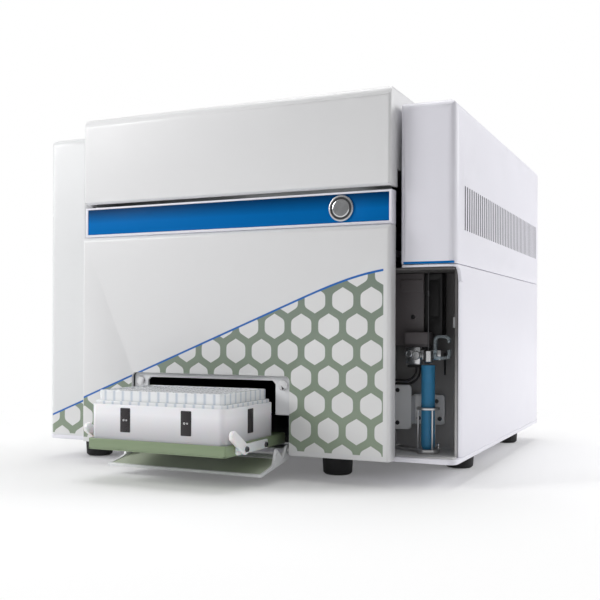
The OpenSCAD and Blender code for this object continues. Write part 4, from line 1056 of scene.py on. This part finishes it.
def makeStation():
    s = station
    right, front, low = s["housing"]
    stepLeft, stepRight, stepFront, stepTop = s["step"]
    bm = bmesh.new()
    boxInto(bm, (s["left"], front, low), (right, s["back"], s["top"]), 0.8)
    boxInto(bm, (stepLeft, stepFront, low), (stepRight, front + 2, stepTop), 1.6, 3)
    boxInto(bm, (stepLeft + 1, stepFront + 1, low - 0.9), (stepRight - 1, front, low + 0.3), 0.3)
    plateInto(bm, [roundedLoop(*s["label"], 1.2)], front - 1, front + 0.2, "y")
    asPiece("probeHousing", bm, "housing", "cabinet", "probe_housing")

    left, right, front, low = s["column"]
    side, foot, head = s["channel"]
    channel = roundedLoop(left + side, right - side, low + foot, s["top"] - head, 1.5)
    bm = bmesh.new()
    boxInto(bm, (left, front + 2, low), (right, s["back"], s["top"]), 0.6)
    plateInto(bm, [roundedLoop(left, right, low, s["top"], 1.0), channel], front, front + 3, "y", 0.5)
    asPiece("blackColumn", bm, "black", "cabinet", "black_column")

    (left, front, low), (right, top) = s["sensor"]
    wide, narrow, rim, peak = s["lens"]
    lensX, lensZ = s["lensAt"]
    bm = bmesh.new()
    boxInto(bm, (left, front, low), (right, s["back"], top), 0.8)
    turnInto(bm, [(0, 0), (wide, 0), (wide, rim), (narrow, peak), (0, peak)], at(lensX, front + 0.1, lensZ), "y", 20)
    asPiece("baySensor", bm, "pale", "cabinet", "bay_sensor")


wash = {
    "body": (157.5, 171.8, 34.0, 101.6, 117.6), "caps": ((161.8, 111.4, 3.4), (168.4, 110.0, 3.9)),
    "shelf": (188, 42, 4, 13),            # right end, front, underside and top above the body's foot
    "neck": (3.2, 43, 106.5, 112.5),      # half width, back, underside and top
    "guide": (4.4, 104.0, 114.5, 1.3), "yoke": (182.3, 197.4, 106.4, 127.8), "yokeWall": 2.5, "yokeDepth": (38, 42),
    "clamp": ((157.6, 41, 98.9), (169.8, 45.4, 101.5)), "leads": ((165.6, 42.2, 10.0), (168.6, 44.0, 13.4)),
    "leadTop": 99.2, "leadRadius": 0.95, "stub": (188.1, 55, 92, 112, 0.9),
}


def makeWashStation():
    w, s = wash, station
    x, y = s["tubeX"], s["tubeY"]
    low, high, front, down, up = w["body"]
    end, shelfFront, foot, head = w["shelf"]
    half, back, neckLow, neckTop = w["neck"]
    bm = bmesh.new()
    boxInto(bm, (low, front, down), (high, s["back"], up), 1.2, 3)
    boxInto(bm, (high - 1, shelfFront, down + foot), (end, s["back"], down + head), 0.8)
    boxInto(bm, (x - half, y, neckLow), (x + half, back, neckTop), 0.8)
    for capX, capZ, r in w["caps"]:
        profile = [(0, -1), (r, -1), (r, 3.6), (r - 0.6, 4.2), (r * 0.55, 4.2), (r * 0.5, 3.7), (0, 3.7)]
        turnInto(bm, profile, at(capX, front, capZ), "y", 28)
    r, foot, head, bore = w["guide"]
    turnInto(bm, [(bore, foot), (r - 0.6, foot), (r, foot + 0.8), (r, head - 0.6), (r - 0.6, head), (bore, head),
                  (bore, foot)], at(x, y, 0), "z", 32)
    asPiece("washStation", bm, "turned", "cabinet", "wash_block")

    a0, a1, b0, b1 = w["yoke"]
    wall = w["yokeWall"]
    rim = roundedLoop(a0, a1, b0, b1, (4, 5, 5, 2))
    hollow = roundedLoop(a0 + wall, a1 - wall, b0 + wall, b1 - wall, (2.5, 3, 3, 1))
    rim, hollow = rim[7:] + rim[:7], hollow[7:] + hollow[:7]      # both start above the mouth at the right
    mid = (b0 + b1) / 2
    outline = [*rim, (a1, mid - 2), (a1 - wall, mid - 2), *hollow[::-1], (a1 - wall, mid + 4), (a1, mid + 4)]
    bm = bmesh.new()
    plateInto(bm, [outline], *w["yokeDepth"], "y", 0.5)
    asPiece("washYoke", bm, "yoke", "cabinet", "wash_block", added=True)

    bm = bmesh.new()
    boxInto(bm, *w["clamp"], 0.4)
    z = w["leadTop"]
    for x, y, r in w["leads"]:
        bend = [at(x - r + r * math.cos(a), y, z - r * math.sin(a) - 2) for a in fan(0, 9, 11)]
        barInto(bm, [at(x, y, z + 0.1), at(x, y, z - 1), *bend, at(s["left"] - 0.2, y, z - r - 2)], w["leadRadius"])
    x, y, foot, head, r = w["stub"]
    barInto(bm, [at(x, y, foot), at(x, y, head)], r)
    asPiece("bayLeads", bm, "rubber", "cabinet", "bay_hose")


needle = {"radius": 0.55, "tip": 106.0, "carriage": 282.0, "collar": (162.0, 166.5, 1.3), "guideY": 52.0,
          "high": 10.0, "arm": (5, 4, 3), "block": (8, 4.3, 4), "bore": 3.05}


def makeNeedle():
    n, s = needle, station
    x, y, z = s["tubeX"], s["tubeY"], n["carriage"]
    r, (foot, head, wide), tip = n["radius"], n["collar"], n["tip"]
    half, front, gap = n["arm"]
    blockHalf, blockFront, blockBack = n["block"]
    bm = bmesh.new()
    turnInto(bm, [(0, tip), (r * 0.5, tip + 0.2), (r, tip + 2), (r, foot), (wide, foot + 0.3), (wide, head - 0.3),
                  (r, head), (r, z + 4), (0, z + 4)], at(x, y, 0), "z", 16)
    boxInto(bm, (x - half, y - front, z), (x + half, n["guideY"] - gap, z + n["high"]), 0.6)
    outline = spanLoop(x, blockHalf, n["guideY"] - blockFront, n["guideY"] + blockBack, 1)
    bore = circleLoop(x, n["guideY"], n["bore"], 32)
    plateInto(bm, [outline, bore], z, z + n["high"], "z", 0.5)
    asPiece("sampleNeedle", bm, "screw", "needle", "sample_needle")


tube = {"radius": 4.85, "low": 28.2, "level": 62.0, "lug": ((187.9, 32.4, 28.0), (189.3, 33.8, 31.2)),
        "knob": (188.6, 33.1, 32.2),
        "knobEdge": ((0, -1.5), (0.8, -1.3), (1.5, -0.4), (1.5, 0.4), (0.8, 1.3), (0, 1.5))}


def makeTubeParts():
    t, s = tube, station
    r, level = t["radius"], t["level"]
    bowl = [(r * math.sin(a), t["low"] + r - r * math.cos(a)) for a in fan(0, 15, 7)]
    bm = bmesh.new()
    turnInto(bm, [*bowl, (r, level - 0.3), (r - 0.4, level), (0, level - 0.2)], at(s["tubeX"], s["tubeY"], 0), "z", 32)
    asPiece("tubeLiquid", bm, "sample", "tube_arm", "sample_tube", added=True)
    bm = bmesh.new()
    boxInto(bm, *t["lug"], 0.3)
    turnInto(bm, t["knobEdge"], at(*t["knob"]), "z", 20)
    asPiece("armKnob", bm, "turned", "tube_arm", "tube_arm", added=True)


# Power button: a turned cap with fine grooves, in a dark ring that is a painted dark reflection on its steel ring

button = {"x": 113.3, "z": 237.35, "radius": 8.35, "proud": 10.6, "stem": 3.0, "grooves": (6.4, 5.2, 4.0, 2.8, 1.6),
          "ring": (0.15, 1.5, 9.6, 10.5)}      # beyond the radius, inwards and outwards, then its back and front


def makeButton():
    b = button
    r, h = b["radius"], b["proud"]
    profile = [(0, -10), (b["stem"], -10), (b["stem"], 0), (r, 0), (r, h - 0.7), (r - 0.7, h)]
    for groove in b["grooves"]:
        profile += [(groove + 0.2, h), (groove, h - 0.3), (groove - 0.2, h)]
    place = at(b["x"], 0, b["z"])
    bm = bmesh.new()
    turnInto(bm, [*profile, (0, h)], place, "y", 64)
    asPiece("powerButton", bm, "turned", "power_button", "power_button", smooth=50)
    # A dark ring piece over the steel ring's face: painted dark reflection
    inner, outer, back, front = b["ring"]
    bm = bmesh.new()
    turnInto(bm, ringProfile(r + inner, r + outer, back, front), place, "y", 64)
    asPiece("buttonRingReflection", bm, "groove", "cabinet", "button_ring", added=True)


# What repeats: fan guard, vents, belt teeth, board parts and screws

guard = {"centre": (60.3, 394.6, 240.0), "rings": 4, "inner": 10.0, "pitch": 8.0, "wire": 1.0, "reach": 46.0}
vents = {"x": 206.4, "low": 214.0, "high": 260.0, "front": 18.0, "back": 376.0, "rows": 18, "lean": 24, "fill": 0.62,
         "slat": 0.8, "screen": (-2.4, -1.6, 4),      # the dark sheet's two faces from the slats, and how far it laps
         "rearVentShade": ((-134, 386.4, 196), (-46, 387.2, 297))}
belt = {"x": 62.4, "front": 26.0, "back": 310.0, "z": 50.0, "radius": 6.35, "spacing": 3.0, "tooth": (4.0, 1.2, 1.0)}
chips = {"lift": 26.6, "spread": (0.86, 0.88), "count": (14, 20), "share": 0.55, "size": (6, 4.2, 2.2), "seed": 7}
ribs = {"drop": 15, "count": 28, "radius": 20.2, "size": (1.0, 1.6, 12)}


def inMetres(sizes):
    return tuple(s * mm for s in sizes)


# Dark slats and dark sheets behind the side and rear vents: painted shade standing in for the shade inside the vents
def makeVents():
    v = vents
    step = (v["high"] - v["low"]) / v["rows"]
    inner, outer, lap = v["screen"]
    size = inMetres((v["slat"], v["back"] - v["front"], step * v["fill"]))
    grown("ventShadeSlats", "slats", "screen", "cabinet", slotOf("chassis_frame"), Count=v["rows"] + 1,
          Start=at(v["x"], (v["front"] + v["back"]) / 2, v["low"]), Step=(0, 0, step * mm), Slat_Size=size,
          Turn=(0, math.radians(v["lean"]), 0))
    bm = bmesh.new()
    boxInto(bm, (v["x"] + inner, v["front"], v["low"] - lap), (v["x"] + outer, v["back"], v["high"] + lap), 0.2)
    boxInto(bm, *v["rearVentShade"], 0.2)
    asPiece("ventShadeSheets", bm, "screen", "cabinet", "chassis_frame", added=True)


def makeBeltTeeth():
    b = belt
    r, turns = b["radius"], fan(0, 15, 13)
    loop = [at(b["x"], b["back"] + r * math.sin(a), b["z"] + r * math.cos(a)) for a in turns]
    loop += [at(b["x"], b["front"] - r * math.sin(a), b["z"] - r * math.cos(a)) for a in turns]
    path = bpy.data.meshes.new("beltPath")
    path.from_pydata([tuple(p) for p in loop], [(i, (i + 1) % len(loop)) for i in range(len(loop))], [])
    grown("beltTeeth", "teeth", "rubber", "cabinet", slotOf("loader_belt"), base=path, Spacing=b["spacing"] * mm,
          Tooth_Size=inMetres(b["tooth"]))


def makeRepeats():
    g = guard
    grown("fanGuard", "guard", "bright", "cabinet", slotOf("fan_guard"), ("fan_guard",), Centre=at(*g["centre"]),
          Rings=g["rings"], Inner_Radius=g["inner"] * mm, Pitch=g["pitch"] * mm, Wire_Radius=g["wire"] * mm, Spokes=2,
          Reach=g["reach"] * mm)
    makeVents()
    makeBeltTeeth()
    low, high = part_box("main_board")
    c = chips
    grown("boardChips", "chips", "chip", "cabinet", slotOf("main_board"),
          Centre=((low.x + high.x) / 2, (low.y + high.y) / 2, low.z + c["lift"] * mm),
          Spread_X=(high.x - low.x) * c["spread"][0], Spread_Y=(high.y - low.y) * c["spread"][1],
          Count_X=c["count"][0], Count_Y=c["count"][1], Share=c["share"], Chip_Size=inMetres(c["size"]), Seed=c["seed"])
    low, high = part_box("sheath_filter")
    grown("filterRibs", "crown", "milky", "cabinet", slotOf("sheath_filter"), Count=ribs["count"],
          Centre=((low.x + high.x) / 2, (low.y + high.y) / 2, high.z - ribs["drop"] * mm), Radius=ribs["radius"] * mm,
          Rib_Size=inMetres(ribs["size"]))


screwPlaces = {
    "rear": (393.0, (-152, 152), (40, 120, 200, 280, 312)), "rearLow": ((-60, 60), 34), "guard": 35.7,
    "inlet": (118.3, 20, 395.5, 64),      # middle, spacing to each side, face and height
    "bay": ((163.2, 57.9, 52.4), (182.6, 57.9, 52.4), (147.2, 44.9, 48.6), (147.2, 44.9, 78.0), (159.9, 49.9, 144.0)),
    "deck": (14, 26, 12, 46.5),      # in from the left, the front and the other edges, then the middle row's y
    "under": (20.0, (-195, 120), (60, 200, 380)),
}


def makeScrews():
    h, (guardX, _, guardZ), r = screwPlaces, guard["centre"], screwPlaces["guard"]
    behind, sides, levels = h["rear"]
    lowSides, lowLevel = h["rearLow"]
    inletX, apart, face, inletZ = h["inlet"]
    rear = [at(x, behind, z) for x in sides for z in levels] + [at(x, behind, lowLevel) for x in lowSides]
    rear += [at(guardX + i * r, behind, guardZ + j * r) for i in (-1, 1) for j in (-1, 1)]
    rear += [at(inletX + i * apart, face, inletZ) for i in (-1, 1)]
    screws("backScrews", [(place, (0, 1, 0)) for place in rear], 2.9, "bright")
    low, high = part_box("optics_deck")
    left, front, edge, middle = inMetres(h["deck"])
    deck = [(x, y, high.z) for x in (low.x + left, high.x - edge) for y in (low.y + front, middle, high.y - edge)]
    screws("deckScrews", [(place, (0, 0, 1)) for place in deck], 4.2, "bright")
    screws("bayScrews", [(at(*place), (0, -1, 0)) for place in h["bay"]], 2.0, "screw")
    z, columns, rows = h["under"]
    screws("baseScrews", [(at(x, y, z), (0, 0, -1)) for x in columns for y in rows], 3.2, "screw")


stages = {
    "loader": (makeTray, makeBlock, makeLabels, makeMicroplate, makeClips, makeDoor, makeBezel),
    "tube station and button": (makeStation, makeWashStation, makeNeedle, makeTubeParts, makeButton),
    "repeats and screws": (makeRepeats, makeScrews),
}
for stage, steps in stages.items():
    for step in steps:
        step()
    print(stage, "ready")


# Camera, floor and light

camera = {"eye": (0.402942, -0.889993, 0.133231), "turn": 0.440166, "rise": 0.0023053, "roll": 0.00396572,
          "lens": 54.168, "shift": (0.02442, 0.04387)}      # angles in radians, lens in mm


def makeCamera():
    turn, rise, roll = camera["turn"], camera["rise"], camera["roll"]
    ahead = Vector((-math.sin(turn) * math.cos(rise), math.cos(turn) * math.cos(rise), math.sin(rise)))
    right = Vector((math.cos(turn), math.sin(turn), 0))
    up = right.cross(ahead)
    across = right * math.cos(roll) + up * math.sin(roll)
    upward = up * math.cos(roll) - right * math.sin(roll)
    data = bpy.data.cameras.new("camera")
    data.sensor_width = 36
    data.lens = camera["lens"]
    data.shift_x, data.shift_y = camera["shift"]
    data.clip_start, data.clip_end = 0.05, 50
    obj = linked(bpy.data.objects.new("camera", data))
    obj.matrix_world = Matrix.Translation(camera["eye"]) @ Matrix((across, upward, -ahead)).transposed().to_4x4()
    scene.camera = obj


studio = {    # sizes in metres; the floor's glow fades in between two distances from the middle
    "radius": 12, "drop": 0.2 * mm, "fade": (0.36, 0.62, 0.12, 1.0), "world": 0.32,
}


def makeFloor():
    bm = bmesh.new()
    bmesh.ops.create_circle(bm, cap_ends=True, radius=studio["radius"], segments=96)
    floor = objectFrom("floor", bm)
    floor.location.z = -studio["drop"]
    material, g, shader = newMaterial("paleFloor")
    setPlain(shader, Base_Color=rgb(250, 250, 250), Roughness=0.9, Specular_IOR_Level=0.1)
    rays = g.add("ShaderNodeLightPath").outputs
    mirrored = g.calc("MAXIMUM", rays["Is Glossy Ray"], rays["Is Transmission Ray"])
    seen = g.calc("MAXIMUM", rays["Is Camera Ray"], mirrored)
    away = g.ramp(g.vec("LENGTH", objectPoint(g)), *studio["fade"])
    glow = g.add("ShaderNodeEmission")
    blend = g.add("ShaderNodeMixShader")
    g.feed(blend.inputs[0], g.times(seen, away))
    g.feed(blend.inputs[1], shader.outputs[0])
    g.feed(blend.inputs[2], glow.outputs[0])
    g.feed(material.node_tree.nodes["Material Output"].inputs["Surface"], blend.outputs[0])
    paint(floor, material)


def makeWorld():
    world = bpy.data.worlds.new("studio")
    scene.world = world
    world.use_nodes = True
    g = Graph(world.node_tree)
    back = world.node_tree.nodes["Background"]
    rays = g.add("ShaderNodeLightPath").outputs
    seen = g.calc("MAXIMUM", rays["Is Camera Ray"], rays["Is Transmission Ray"])
    back.inputs["Color"].default_value = (1, 1, 1, 1)
    g.feed(back.inputs["Strength"], g.ramp(seen, 0, 1, studio["world"], 1.0))


lamps = {    # place, target, width and height in metres, power in watts
    "frontLeft": ((-1.1, -0.92, 0.75), (-0.05, -0.1, 0.17), 0.6, 0.6, 11.5),
    "rightRear": ((1.35, 0.75, 0.75), (0.1, 0, 0.15), 0.8, 0.8, 12),
    "overhead": ((0.0, 0.2, 1.5), (0, 0.05, 0), 1.0, 1.0, 12),
}


def makeLamps():
    for name, (where, target, width, height, watts) in lamps.items():
        data = bpy.data.lights.new(name, "AREA")
        data.shape = "RECTANGLE"
        data.size, data.size_y = width, height
        data.energy = watts
        obj = linked(bpy.data.objects.new(name, data))
        aim = (Vector(target) - Vector(where)).to_track_quat("-Z", "Y")
        obj.matrix_world = Matrix.Translation(where) @ aim.to_matrix().to_4x4()


makeCamera()
makeFloor()
makeWorld()
makeLamps()
print("studio ready")
